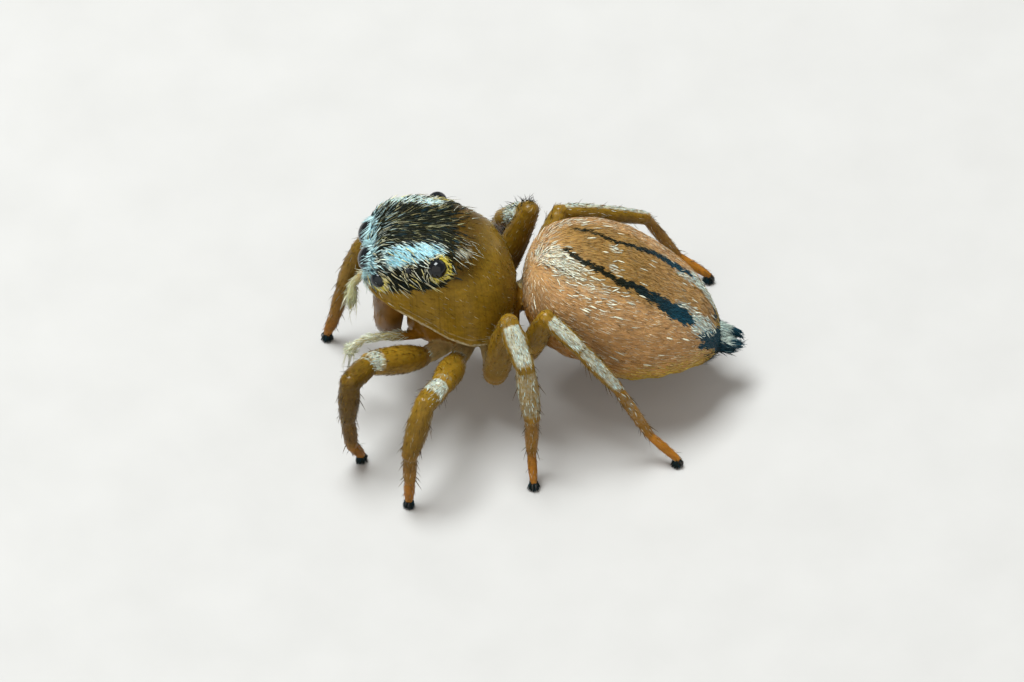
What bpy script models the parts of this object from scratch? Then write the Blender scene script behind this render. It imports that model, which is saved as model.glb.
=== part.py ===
"""Peacock spider, a small jumping spider standing still on its eight legs, at life size.

Sizes are in millimetres until the last step, which turns them into metres.
The spider faces -Y, its left side is +X and it stands on the floor z = 0.
"""
import math
from collections import namedtuple

import bmesh
import bpy
from mathutils import Matrix, Vector

MM = 0.001
GAP = 0.02
WELD = 1e-5
SLIVER = 0.0005

BODY_SIDES = 32
CARAPACE_RINGS = 19
ABDOMEN_RINGS = 22
TRUNK_RINGS = 8
TRUNK_SIDES = 20
LIMB_SIDES = 10
THIN_SIDES = 8
BALL_SIDES = 10

Colour = namedtuple("Colour", "name rgb roughness")
CARAPACE_BROWN = Colour("carapace", (0.30, 0.20, 0.07), 0.45)
ABDOMEN_TAN = Colour("abdomen", (0.46, 0.27, 0.15), 0.60)
LEG_BROWN = Colour("leg", (0.30, 0.19, 0.08), 0.40)
COXA_ORANGE = Colour("underside", (0.45, 0.22, 0.06), 0.40)
EYE_BLACK = Colour("eye", (0.01, 0.01, 0.012), 0.05)
TUFT_BLACK = Colour("tuft", (0.02, 0.03, 0.035), 0.80)
PALP_PALE = Colour("palp", (0.55, 0.50, 0.32), 0.50)
FANG_BROWN = Colour("fang", (0.16, 0.05, 0.02), 0.25)
SPINNERET_TEAL = Colour("spinneret", (0.03, 0.12, 0.14), 0.55)


# Carapace: the shield over the head and thorax, from the face to the steep rear.
# margin is the height of its lower edge, crown the height of its top, and
# squareness the power of the rounded cross-section.
Shield = namedtuple("Shield", "y half_width margin crown squareness")
CARAPACE = (
    Shield(-2.06, 0.37, 2.18, 2.46, 3.6),
    Shield(-2.02, 0.47, 2.13, 2.61, 4.2),
    Shield(-1.93, 0.56, 2.08, 2.74, 4.8),
    Shield(-1.82, 0.63, 2.03, 2.83, 5.0),
    Shield(-1.68, 0.69, 1.95, 2.88, 5.0),
    Shield(-1.45, 0.74, 1.82, 2.91, 5.0),
    Shield(-1.20, 0.79, 1.68, 2.88, 4.6),
    Shield(-0.95, 0.83, 1.52, 2.85, 3.8),
    Shield(-0.68, 0.85, 1.41, 2.77, 3.0),
    Shield(-0.45, 0.79, 1.37, 2.66, 2.7),
    Shield(-0.27, 0.67, 1.43, 2.44, 2.6),
    Shield(-0.12, 0.47, 1.52, 2.10, 2.5),
    Shield(-0.04, 0.24, 1.62, 1.88, 2.3),
)
MARGIN_DEPTH = 0.09
MARGIN_TUCK = 0.05

# Lower body: the soft sides between the carapace and the coxae.
Trunk = namedtuple("Trunk", "y half_width centre rise drop")
TRUNK = (
    Trunk(-1.52, 0.26, 1.42, 0.46, 0.30),
    Trunk(-1.42, 0.38, 1.36, 0.46, 0.34),
    Trunk(-1.20, 0.48, 1.26, 0.50, 0.30),
    Trunk(-0.90, 0.52, 1.20, 0.50, 0.27),
    Trunk(-0.40, 0.52, 1.20, 0.45, 0.27),
    Trunk(-0.12, 0.46, 1.22, 0.45, 0.26),
    Trunk(0.005, 0.26, 1.26, 0.30, 0.20),
)
TRUNK_SQUARENESS = 2.8

# Abdomen: a rounded sack that hangs down towards the spinnerets.
Sack = namedtuple("Sack", "y centre half_width half_height")
ABDOMEN = (
    Sack(0.035, 1.72, 0.17, 0.17),
    Sack(0.08, 1.72, 0.40, 0.38),
    Sack(0.18, 1.73, 0.60, 0.58),
    Sack(0.37, 1.725, 0.79, 0.78),
    Sack(0.60, 1.70, 0.90, 0.87),
    Sack(0.85, 1.64, 0.98, 0.93),
    Sack(1.10, 1.555, 1.03, 0.97),
    Sack(1.37, 1.435, 1.06, 0.97),
    Sack(1.61, 1.355, 1.04, 0.89),
    Sack(1.85, 1.275, 0.99, 0.77),
    Sack(2.05, 1.21, 0.91, 0.66),
    Sack(2.25, 1.14, 0.79, 0.57),
    Sack(2.40, 1.06, 0.65, 0.49),
    Sack(2.52, 0.97, 0.49, 0.41),
    Sack(2.62, 0.88, 0.33, 0.30),
    Sack(2.68, 0.83, 0.20, 0.19),
)
ABDOMEN_SQUARENESS = 2.15

# Eyes, given for the left side: middle of the ball, its radius, the way it
# looks, and how far the tubercle under it is sunk (none for the front pair).
Eye = namedtuple("Eye", "name centre radius look rim sink sides")
EYES = (
    Eye("eye_front_middle", Vector((0.24, -1.955, 2.455)), 0.200, Vector((0.0, -1.0, 0.0)), 0.0, 0.0, 16),
    Eye("eye_front_side", Vector((0.540, -1.868, 2.385)), 0.115, Vector((0.6, -0.8, 0.0)), 0.025, 0.06, 14),
    Eye("eye_small", Vector((0.655, -1.475, 2.660)), 0.052, Vector((0.8, -0.1, 0.6)), 0.0, 0.0, 8),
    Eye("eye_rear", Vector((0.636, -1.100, 2.672)), 0.133, Vector((0.8, 0.1, 0.6)), 0.03, 0.07, 14),
)

# Legs. Lengths run coxa, femur, patella, tibia, metatarsus, tarsus.
# Thickness gives the radius at the base, belly and end of each of these.
LegKind = namedtuple("LegKind", "root_x root_y lengths radii")
ROOT_Z = 1.06
THICK_BELLY = 0.115
LEG_KINDS = {
    1: LegKind(0.46, -1.00, (0.40, 1.00, 0.48, 0.69, 0.52, 0.43),
               ((0.130, 0.135, 0.120), (0.145, 0.205, 0.165), (0.135, 0.165, 0.150),
                (0.135, 0.155, 0.110), (0.100, 0.110, 0.090), (0.085, 0.090, 0.065))),
    2: LegKind(0.46, -0.71, (0.38, 0.92, 0.50, 0.72, 0.51, 0.43),
               ((0.130, 0.135, 0.120), (0.140, 0.195, 0.165), (0.130, 0.165, 0.150),
                (0.140, 0.165, 0.125), (0.095, 0.105, 0.085), (0.080, 0.085, 0.065))),
    3: LegKind(0.46, -0.42, (0.38, 1.32, 0.62, 0.74, 0.72, 0.50),
               ((0.130, 0.135, 0.130), (0.185, 0.205, 0.145), (0.125, 0.165, 0.145),
                (0.130, 0.155, 0.125), (0.095, 0.105, 0.075), (0.070, 0.075, 0.060))),
    4: LegKind(0.42, -0.13, (0.44, 1.02, 0.58, 0.83, 0.90, 0.61),
               ((0.130, 0.130, 0.115), (0.130, 0.170, 0.125), (0.110, 0.130, 0.115),
                (0.105, 0.120, 0.095), (0.080, 0.090, 0.070), (0.065, 0.072, 0.060))),
}

# Pose of each leg: degrees from straight out sideways towards the rear, and
# degrees up. The tarsus has no pitch of its own, because it reaches the floor.
Pose = namedtuple("Pose", "yaws pitches")
LEG_POSES = {
    (1, "l"): Pose((-51, -50, -33, -45, -50, 126), (4, 27, 6, -86, -97)),
    (2, "l"): Pose((-22, -12, -29, -30, -26, -22), (5, 26, 6, -58, -88)),
    (3, "l"): Pose((17, 28, 24, 20, 13, 6), (-33, 73, -34, -68, -92)),
    (4, "l"): Pose((33, 44, 62, 78, 72, 66), (18, 69, -35, -51, -58)),
    (1, "r"): Pose((-55, -72, -94, -105, -112, -96), (3, 58, -50, -69, -76)),
    (2, "r"): Pose((-22, -34, -40, -34, -24, -5), (5, 27, -18, -58, -66)),
    (3, "r"): Pose((12, 76, -50, -12, -6, -4), (-12, 68.5, -44, -60, -72)),
    (4, "r"): Pose((36, 32, 62, 70, 83, 112), (-5, 42, -24, -26, -60)),
}
FOOT_HEIGHT = 0.13
FOOT_RADIUS = 0.085
FOOT_CENTRE = 0.07
FOOT_RISE = 0.10

# Palps, from the root beside the mouth: femur, patella, tibia, tarsus.
PALP_ROOT = Vector((0.40, -1.33, 1.20))
PALP_LENGTHS = (0.57, 0.25, 0.25, 0.42)
PALP_RADII = ((0.075, 0.085, 0.070), (0.065, 0.078, 0.065),
              (0.060, 0.072, 0.065), (0.065, 0.090, 0.050))
PALP_POSES = {
    "l": Pose((-69, -83, -101, -176), (16, -7, -49, -50)),
    "r": Pose((-74, -90, -98, -90), (18, 9, -53, -87)),
}

# Chelicerae: the two upright jaws under the face, and their fangs.
Jaw = namedtuple("Jaw", "z y half_width half_depth")
CHELICERA_X = 0.215
CHELICERA = (
    Jaw(2.06, -1.74, 0.10, 0.10),
    Jaw(2.02, -1.74, 0.15, 0.15),
    Jaw(1.90, -1.75, 0.18, 0.18),
    Jaw(1.65, -1.76, 0.195, 0.205),
    Jaw(1.40, -1.75, 0.19, 0.20),
    Jaw(1.22, -1.74, 0.165, 0.175),
    Jaw(1.12, -1.73, 0.12, 0.13),
    Jaw(1.08, -1.73, 0.06, 0.07),
)
JAW_RINGS = 9
JAW_SIDES = 12
FANG_BASE = Vector((0.29, -1.74, 1.12))
FANG_REACH = 0.24
FANG_SAG = 0.085
FANG_RADIUS = 0.045

# Underside: the sternum between the coxae, the mouthparts before it.
STERNUM_CENTRE = Vector((0.0, -0.62, 0.955))
STERNUM_SIZE = Vector((0.29, 0.50, 0.085))
STERNUM_SIDES = 12
LABIUM_CENTRE = Vector((0.0, -1.24, 0.985))
LABIUM_SIZE = Vector((0.11, 0.10, 0.09))
MAXILLA_CENTRE = Vector((0.15, -1.36, 1.02))
MAXILLA_SIZE = Vector((0.12, 0.17, 0.11))
MAXILLA_TURN = 14.0

# Pedicel: the narrow stalk between the two halves of the body.
PEDICEL_FRONT = Vector((0.0, -0.10, 1.36))
PEDICEL_REAR = Vector((0.0, 0.22, 1.46))
PEDICEL_RADIUS = 0.11
PEDICEL_SIDES = 14

# Spinnerets: two larger pairs round a short base, with the tubercle above.
SPINNERET_BASE = Vector((0.0, 2.63, 0.79))
SPINNERET_BASE_SIZE = Vector((0.19, 0.11, 0.17))
Spinneret = namedtuple("Spinneret", "x y z dx dy dz root_radius end_radius")
SPINNERETS = (
    Spinneret(0.090, 2.64, 0.82, 0.03, 0.30, -0.10, 0.082, 0.050),
    Spinneret(0.075, 2.63, 0.70, 0.00, 0.22, -0.13, 0.078, 0.045),
)
TUBERCLE = Spinneret(0.0, 2.62, 0.89, 0.0, 0.14, 0.02, 0.10, 0.06)


def signed_power(value, power):
    return math.copysign(abs(value) ** power, value)


def smooth_values(stations, count):
    """Stations resampled along their first value, with no overshoot."""
    rows = [tuple(map(float, row)) for row in stations]
    columns = len(rows[0])
    steps = [rows[i + 1][0] - rows[i][0] for i in range(len(rows) - 1)]
    slopes = [[(rows[i + 1][c] - rows[i][c]) / steps[i] for c in range(columns)]
              for i in range(len(steps))]

    def tangent(i, c):
        if i == 0:
            return slopes[0][c]
        if i == len(rows) - 1:
            return slopes[-1][c]
        before, after = slopes[i - 1][c], slopes[i][c]
        if before * after <= 0.0:
            return 0.0
        return 2.0 * before * after / (before + after)

    # Rings gather where stations do, so that the ends stay round.
    result = []
    for n in range(count):
        place = n / (count - 1) * (len(rows) - 1)
        i = min(int(place), len(rows) - 2)
        t = place - i
        row = []
        for c in range(columns):
            h = steps[i]
            row.append((2 * t ** 3 - 3 * t ** 2 + 1) * rows[i][c]
                       + (t ** 3 - 2 * t ** 2 + t) * h * tangent(i, c)
                       + (3 * t ** 2 - 2 * t ** 3) * rows[i + 1][c]
                       + (t ** 3 - t ** 2) * h * tangent(i + 1, c))
        row[0] = rows[i][0] + t * steps[i]
        result.append(row)
    return result


def half_section(half_width, height, power, count, sign):
    """Half a rounded section from +X over to -X in even steps along its edge."""
    fine = 24 * count
    line = []
    for n in range(fine + 1):
        angle = math.pi * n / fine
        line.append((half_width * signed_power(math.cos(angle), 2.0 / power),
                     sign * height * abs(math.sin(angle)) ** (2.0 / power)))
    run = [0.0]
    for a, b in zip(line, line[1:]):
        run.append(run[-1] + math.hypot(b[0] - a[0], b[1] - a[1]))
    points = []
    place = 0
    for n in range(count):
        target = run[-1] * n / count
        while run[place + 1] < target:
            place += 1
        part = (target - run[place]) / (run[place + 1] - run[place])
        a, b = line[place], line[place + 1]
        points.append((a[0] + (b[0] - a[0]) * part, a[1] + (b[1] - a[1]) * part))
    return points


def closed_loft(rings):
    """Closed surface through rings of equal length, with fanned ends."""
    bm = bmesh.new()
    loops = [[bm.verts.new(p) for p in ring] for ring in rings]
    sides = len(rings[0])
    for first, second in zip(loops, loops[1:]):
        for k in range(sides):
            bm.faces.new((first[k], first[(k + 1) % sides],
                          second[(k + 1) % sides], second[k]))
    for loop in (loops[0], loops[-1]):
        middle = bm.verts.new(sum((v.co for v in loop), Vector()) / sides)
        for k in range(sides):
            bm.faces.new((loop[k], loop[(k + 1) % sides], middle))
    bmesh.ops.recalc_face_normals(bm, faces=bm.faces)
    bmesh.ops.triangulate(bm, faces=bm.faces)
    return new_object(bm, "piece")


def new_object(bm, name):
    mesh = bpy.data.meshes.new(name)
    bm.to_mesh(mesh)
    bm.free()
    obj = bpy.data.objects.new(name, mesh)
    bpy.context.scene.collection.objects.link(obj)
    return obj


def ball(centre, size, sides=16, turn=None):
    """Ellipsoid with half-sizes `size`, its poles along Y."""
    bm = bmesh.new()
    bmesh.ops.create_uvsphere(bm, u_segments=sides, v_segments=max(6, sides * 5 // 8), radius=1.0)
    matrix = Matrix.Translation(centre)
    if turn is not None:
        matrix = matrix @ turn
    matrix = matrix @ Matrix.Diagonal((size[0], size[1], size[2], 1.0))
    matrix = matrix @ Matrix.Rotation(math.pi / 2, 4, "X")
    bmesh.ops.transform(bm, matrix=matrix, verts=bm.verts)
    bmesh.ops.triangulate(bm, faces=bm.faces)
    return new_object(bm, "piece")


def across(direction):
    """Two unit vectors at right angles to a direction."""
    guide = Vector((0.0, 0.0, 1.0))
    if abs(direction.normalized().z) > 0.95:
        guide = Vector((0.0, 1.0, 0.0))
    first = direction.cross(guide).normalized()
    return first, direction.cross(first).normalized()


def segment(start, end, radii, sides, spare=0.0):
    """One limb segment: thin at the base, a belly, and round ends past both joints."""
    base, belly, tip = (radius + spare for radius in radii)
    axis = end - start
    length = axis.length
    axis.normalize()
    first, second = across(axis)
    profile = (
        (-0.80 * base, 0.60 * base),
        (0.12 * length, 0.5 * (base + belly)),
        (0.42 * length, belly),
        (0.82 * length, 0.45 * belly + 0.55 * tip),
        (length + 0.25 * tip, 0.96 * tip),
        (length + 0.82 * tip, 0.55 * tip),
    )
    rings = []
    for along, radius in profile:
        centre = start + axis * along
        ring = []
        for k in range(sides):
            angle = 2.0 * math.pi * k / sides
            ring.append(centre + radius * (math.cos(angle) * first + math.sin(angle) * second))
        rings.append(ring)
    return closed_loft(rings)


def horn(points, radii, sides=8, spare=0.0):
    """Tapered round piece along a few points, or its socket with some spare room."""
    first_step = (points[1] - points[0]).normalized()
    last_step = (points[-1] - points[-2]).normalized()
    points = [points[0] - spare * first_step, *points[1:-1], points[-1] + spare * last_step]
    radii = [radius + spare for radius in radii]
    rings = []
    for i, point in enumerate(points):
        before = points[max(i - 1, 0)]
        after = points[min(i + 1, len(points) - 1)]
        first, second = across(after - before)
        rings.append([point + radii[i] * (math.cos(2 * math.pi * k / sides) * first
                                          + math.sin(2 * math.pi * k / sides) * second)
                      for k in range(sides)])
    return closed_loft(rings)


def apply_boolean(target, operation, others, solver="EXACT"):
    """One Boolean of the target with all the other pieces."""
    group = bpy.data.collections.new("operands")
    for other in others:
        group.objects.link(other)
    modifier = target.modifiers.new("join", "BOOLEAN")
    modifier.operation = operation
    modifier.operand_type = "COLLECTION"
    modifier.collection = group
    modifier.solver = solver
    if solver == "EXACT":
        modifier.use_self = True
    graph = bpy.context.evaluated_depsgraph_get()
    mesh = bpy.data.meshes.new_from_object(target.evaluated_get(graph))
    target.modifiers.clear()
    target.data = mesh
    for other in others:
        bpy.data.objects.remove(other, do_unlink=True)
    bpy.data.collections.remove(group)
    return target


def keep_largest(obj):
    """Keep the closed surface that holds the most space."""
    bm = bmesh.new()
    bm.from_mesh(obj.data)
    bmesh.ops.triangulate(bm, faces=bm.faces)
    bmesh.ops.remove_doubles(bm, verts=bm.verts, dist=WELD)
    bmesh.ops.dissolve_degenerate(bm, dist=SLIVER, edges=bm.edges)
    bmesh.ops.triangulate(bm, faces=bm.faces)
    unseen = set(bm.faces)
    best, best_space = None, -1.0
    while unseen:
        stack = [unseen.pop()]
        shell = set(stack)
        while stack:
            for edge in stack.pop().edges:
                for other in edge.link_faces:
                    if other in unseen:
                        unseen.discard(other)
                        shell.add(other)
                        stack.append(other)
        space = 0.0
        for face in shell:
            a, b, c = (v.co for v in face.verts)
            space += a.dot(b.cross(c)) / 6.0
        if abs(space) > best_space:
            best, best_space = shell, abs(space)
    bmesh.ops.delete(bm, geom=[f for f in bm.faces if f not in best], context="FACES")
    bmesh.ops.delete(bm, geom=[v for v in bm.verts if not v.link_faces], context="VERTS")
    bm.to_mesh(obj.data)
    bm.free()
    return obj


def joined(pieces, cutters=(), solver="EXACT"):
    """Fuse pieces into one closed body, then cut the sockets."""
    body = pieces[0]
    if len(pieces) > 1:
        apply_boolean(body, "UNION", pieces[1:], solver)
    if cutters:
        apply_boolean(body, "DIFFERENCE", list(cutters), solver)
    return keep_largest(body)


def finish(obj, name, colour):
    """Name the node, smooth it and give it its colour."""
    obj.name = name
    obj.data.name = name
    for polygon in obj.data.polygons:
        polygon.use_smooth = True
    material = bpy.data.materials.get(colour.name)
    if material is None:
        material = bpy.data.materials.new(colour.name)
        material.use_nodes = True
        shader = material.node_tree.nodes["Principled BSDF"]
        shader.inputs["Base Color"].default_value = (*colour.rgb, 1.0)
        shader.inputs["Roughness"].default_value = colour.roughness
    obj.data.materials.clear()
    obj.data.materials.append(material)
    return obj


def mirrored(vector, side):
    """A point of the left side, or its twin on the right."""
    return Vector((vector[0] if side == "l" else -vector[0], vector[1], vector[2]))


def heading(side, yaw, pitch):
    """Unit vector outwards on one side, turned to the rear and upwards."""
    yaw, pitch = math.radians(yaw), math.radians(pitch)
    outward = 1.0 if side == "l" else -1.0
    return Vector((outward * math.cos(yaw) * math.cos(pitch),
                   math.sin(yaw) * math.cos(pitch), math.sin(pitch)))


def chain(root, side, lengths, pose):
    """Joints of a limb from its root outwards."""
    joints = [root]
    for length, yaw, pitch in zip(lengths, pose.yaws, pose.pitches):
        joints.append(joints[-1] + length * heading(side, yaw, pitch))
    return joints


def leg_joints(pair, side):
    """Joints of one leg, the last one at foot height above the floor."""
    kind = LEG_KINDS[pair]
    pose = LEG_POSES[pair, side]
    joints = chain(mirrored((kind.root_x, kind.root_y, ROOT_Z), side), side, kind.lengths, pose)
    drop = joints[-1].z - FOOT_HEIGHT
    tarsus = kind.lengths[-1] - FOOT_HEIGHT
    level = math.sqrt(max(tarsus ** 2 - drop ** 2, 0.0))
    step = heading(side, pose.yaws[-1], 0.0)
    foot = joints[-1] + step * level
    foot.z = FOOT_HEIGHT
    joints.append(foot)
    return joints


def leg_segments(pair, side, places, spare=0.0):
    """Some of the six segments of a leg, or the sockets for them."""
    joints = leg_joints(pair, side)
    pieces = []
    for i in places:
        radii = LEG_KINDS[pair].radii[i]
        sides = LIMB_SIDES if radii[1] > THICK_BELLY else THIN_SIDES
        pieces.append(segment(joints[i], joints[i + 1], radii, sides, spare))
    return pieces


def leg(pair, side):
    return finish(joined(leg_segments(pair, side, range(6))), f"leg_{pair}_{side}", LEG_BROWN)


def foot(pair, side):
    """Dark claw tuft round the end of the tarsus, flat where it stands."""
    tip = leg_joints(pair, side)[-1]
    tuft = ball((tip.x, tip.y, FOOT_CENTRE), (FOOT_RADIUS, FOOT_RADIUS, FOOT_RISE), BALL_SIDES)
    below = 1.0
    floor = bmesh.new()
    bmesh.ops.create_cube(floor, size=2.0 * below)
    bmesh.ops.translate(floor, verts=floor.verts, vec=(tip.x, tip.y, -below))
    joined([tuft], [new_object(floor, "floor_cut"), *leg_segments(pair, side, (5,), GAP)])
    return finish(tuft, f"foot_{pair}_{side}", TUFT_BLACK)


def palp_segments(side, places, spare=0.0):
    joints = chain(mirrored(PALP_ROOT, side), side, PALP_LENGTHS, PALP_POSES[side])
    return [segment(joints[i], joints[i + 1], PALP_RADII[i], THIN_SIDES, spare) for i in places]


def palp(side):
    return finish(joined(palp_segments(side, range(4))), f"palp_{side}", PALP_PALE)


def jaw_solid(side, spare=0.0):
    rings = []
    for row in smooth_values(CHELICERA, JAW_RINGS):
        z, y, half_width, half_depth = row
        ring = []
        for k in range(JAW_SIDES):
            angle = 2.0 * math.pi * k / JAW_SIDES
            ring.append(mirrored((CHELICERA_X + (half_width + spare) * math.cos(angle),
                                  y + (half_depth + spare) * math.sin(angle), z), side))
        rings.append(ring)
    rings[0] = [p + Vector((0, 0, spare)) for p in rings[0]]
    rings[-1] = [p - Vector((0, 0, spare)) for p in rings[-1]]
    return closed_loft(rings)


def fang_solid(side, spare=0.0):
    points, radii = [], []
    steps = 6
    for n in range(steps + 1):
        part = n / steps
        sag = FANG_SAG * math.sin(math.pi * min(part * 1.1, 1.0))
        points.append(mirrored(FANG_BASE + Vector((-FANG_REACH * part, 0.03 * part, -sag)), side))
        radii.append(FANG_RADIUS * (1.0 - 0.8 * part))
    return horn(points, radii, spare=spare)


def carapace_solid():
    rings = []
    for y, half_width, margin, crown, power in smooth_values(CARAPACE, CARAPACE_RINGS):
        upper_count = BODY_SIDES * 3 // 4
        lower_count = BODY_SIDES - upper_count
        upper = half_section(half_width, crown - margin, power, upper_count, 1.0)
        tuck = max(half_width - MARGIN_TUCK, 0.5 * half_width)
        lower = half_section(tuck, MARGIN_DEPTH, 4.0, lower_count, -1.0)
        ring = [(x, y, margin + z) for x, z in upper]
        ring += [(-x, y, margin + z) for x, z in lower]
        rings.append(ring)
    return closed_loft(rings)


def trunk_solid():
    rings = []
    for y, half_width, centre, rise, drop in smooth_values(TRUNK, TRUNK_RINGS):
        half = TRUNK_SIDES // 2
        upper = half_section(half_width, rise, TRUNK_SQUARENESS, half, 1.0)
        lower = half_section(half_width, drop, TRUNK_SQUARENESS, half, -1.0)
        ring = [(x, y, centre + z) for x, z in upper]
        ring += [(-x, y, centre + z) for x, z in lower]
        rings.append(ring)
    return closed_loft(rings)


def abdomen_solid():
    rings = []
    for y, centre, half_width, half_height in smooth_values(ABDOMEN, ABDOMEN_RINGS):
        half = BODY_SIDES // 2
        upper = half_section(half_width, half_height, ABDOMEN_SQUARENESS, half, 1.0)
        lower = half_section(half_width, half_height, ABDOMEN_SQUARENESS, half, -1.0)
        ring = [(x, y, centre + z) for x, z in upper]
        ring += [(-x, y, centre + z) for x, z in lower]
        rings.append(ring)
    return closed_loft(rings)


def eye_ball(eye, side, spare=0.0):
    return ball(mirrored(eye.centre, side), (eye.radius + spare,) * 3, eye.sides)


def eye_tubercle(eye, side):
    """Low mound that carries an eye, sunk so that the eye stands proud of it."""
    centre = mirrored(eye.centre - eye.look.normalized() * eye.sink, side)
    return ball(centre, (eye.radius + eye.rim,) * 3, BALL_SIDES)


def maxilla(side, spare=0.0):
    turn = Matrix.Rotation(math.radians(MAXILLA_TURN if side == "l" else -MAXILLA_TURN), 4, "Z")
    size = MAXILLA_SIZE + Vector((spare, spare, spare))
    return ball(mirrored(MAXILLA_CENTRE, side), size, BALL_SIDES, turn)


def spinneret_cone(part, side, spare=0.0):
    start = mirrored((part.x, part.y, part.z), side)
    step = mirrored((part.dx, part.dy, part.dz), side)
    ends = [start, start + 0.45 * step, start + 0.85 * step, start + step]
    return horn(ends, [part.root_radius, part.root_radius * 0.95,
                       part.end_radius * 1.15, part.end_radius * 0.6], THIN_SIDES, spare)


def spinneret_group(spare=0.0):
    base = ball(SPINNERET_BASE, SPINNERET_BASE_SIZE + Vector((spare,) * 3), BALL_SIDES)
    cones = [spinneret_cone(part, side, spare) for part in SPINNERETS for side in SIDES]
    return [base, spinneret_cone(TUBERCLE, "l", spare), *cones]


def with_gap(size):
    return size + Vector((GAP, GAP, GAP))


for old in list(bpy.data.objects):
    bpy.data.objects.remove(old, do_unlink=True)

SIDES = ("l", "r")
nodes = []

# Head and thorax, with a socket for everything that grows from it.
rims = [eye_tubercle(eye, side) for eye in EYES if eye.sink > 0.0 for side in SIDES]
sockets = [eye_ball(eye, side, GAP) for eye in EYES for side in SIDES]
sockets += [jaw_solid(side, GAP) for side in SIDES]
for side in SIDES:
    for pair in LEG_KINDS:
        sockets += leg_segments(pair, side, (0, 1), GAP)
    sockets += palp_segments(side, (0,), GAP)
sockets.append(ball(STERNUM_CENTRE, with_gap(STERNUM_SIZE), STERNUM_SIDES))
sockets.append(ball(LABIUM_CENTRE, with_gap(LABIUM_SIZE), BALL_SIDES))
sockets += [maxilla(side, GAP) for side in SIDES]
sockets.append(horn([PEDICEL_FRONT, PEDICEL_REAR], [PEDICEL_RADIUS] * 2, PEDICEL_SIDES, GAP))
prosoma = joined([carapace_solid(), trunk_solid()] + rims, sockets, "MANIFOLD")
nodes.append(finish(prosoma, "cephalothorax", CARAPACE_BROWN))

# Abdomen, with sockets for the stalk and the spinnerets.
sockets = [horn([PEDICEL_FRONT, PEDICEL_REAR], [PEDICEL_RADIUS] * 2, PEDICEL_SIDES, GAP)]
sockets += spinneret_group(GAP)
nodes.append(finish(joined([abdomen_solid()], sockets, "MANIFOLD"), "abdomen", ABDOMEN_TAN))

stalk = horn([PEDICEL_FRONT, PEDICEL_REAR], [PEDICEL_RADIUS] * 2, PEDICEL_SIDES)
nodes.append(finish(stalk, "pedicel", COXA_ORANGE))
nodes.append(finish(joined(spinneret_group()), "spinnerets", SPINNERET_TEAL))

# Underside and mouth.
nodes.append(finish(joined([ball(STERNUM_CENTRE, STERNUM_SIZE, STERNUM_SIDES)]), "sternum", COXA_ORANGE))
pieces = [ball(LABIUM_CENTRE, LABIUM_SIZE, BALL_SIDES)] + [maxilla(side) for side in SIDES]
nodes.append(finish(joined(pieces), "mouthparts", COXA_ORANGE))

for side in SIDES:
    for eye in EYES:
        nodes.append(finish(joined([eye_ball(eye, side)]), f"{eye.name}_{side}", EYE_BLACK))
    jaw = joined([jaw_solid(side)], [fang_solid(side, GAP)])
    nodes.append(finish(jaw, f"chelicera_{side}", LEG_BROWN))
    nodes.append(finish(joined([fang_solid(side)]), f"fang_{side}", FANG_BROWN))
    nodes.append(palp(side))
    for pair in LEG_KINDS:
        nodes.append(leg(pair, side))
        nodes.append(foot(pair, side))

# The middle of the box goes to the origin, and millimetres become metres.
corners = [v.co for node in nodes for v in node.data.vertices]
middle_x = 0.5 * (min(c.x for c in corners) + max(c.x for c in corners))
middle_y = 0.5 * (min(c.y for c in corners) + max(c.y for c in corners))
home = Matrix.Scale(MM, 4) @ Matrix.Translation((-middle_x, -middle_y, 0.0))
for node in nodes:
    node.data.transform(home)
    node.data.update()
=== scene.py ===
"""Peacock spider: one smooth skin with its scales, hairs, eyes and claw tufts.

Everything is shaped in millimetres: x to the spider's left, y to its rear with the
stalk between the two halves of the body at y = 0, z up from the floor. The last step
of each piece turns it into metres and sets it where the solid eyes say the head is.
"""
import math
from collections import namedtuple

import bpy
import numpy as np
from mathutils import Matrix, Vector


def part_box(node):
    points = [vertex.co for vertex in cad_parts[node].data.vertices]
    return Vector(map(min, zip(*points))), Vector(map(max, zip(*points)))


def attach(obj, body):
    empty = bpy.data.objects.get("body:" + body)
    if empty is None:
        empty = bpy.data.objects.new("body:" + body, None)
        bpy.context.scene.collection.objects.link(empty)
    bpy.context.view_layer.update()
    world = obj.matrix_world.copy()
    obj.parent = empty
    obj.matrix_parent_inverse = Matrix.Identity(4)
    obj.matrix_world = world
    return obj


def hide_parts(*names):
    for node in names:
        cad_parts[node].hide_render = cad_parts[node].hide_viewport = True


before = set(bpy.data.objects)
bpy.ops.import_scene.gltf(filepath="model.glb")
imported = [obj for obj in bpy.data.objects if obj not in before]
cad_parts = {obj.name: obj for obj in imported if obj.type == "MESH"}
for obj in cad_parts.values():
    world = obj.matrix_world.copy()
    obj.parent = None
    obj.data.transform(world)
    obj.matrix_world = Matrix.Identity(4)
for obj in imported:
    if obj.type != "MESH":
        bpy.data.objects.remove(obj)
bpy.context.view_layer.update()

MM = 0.001
SEED = 11
# The skin's mesh: size of its faces, and rounds that even it out with their steps.
VOXEL = 0.021
RELAX_ROUNDS = 12
RELAX_STEPS = (0.5, -0.52)
COAT_DEPTH = 0.010

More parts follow.
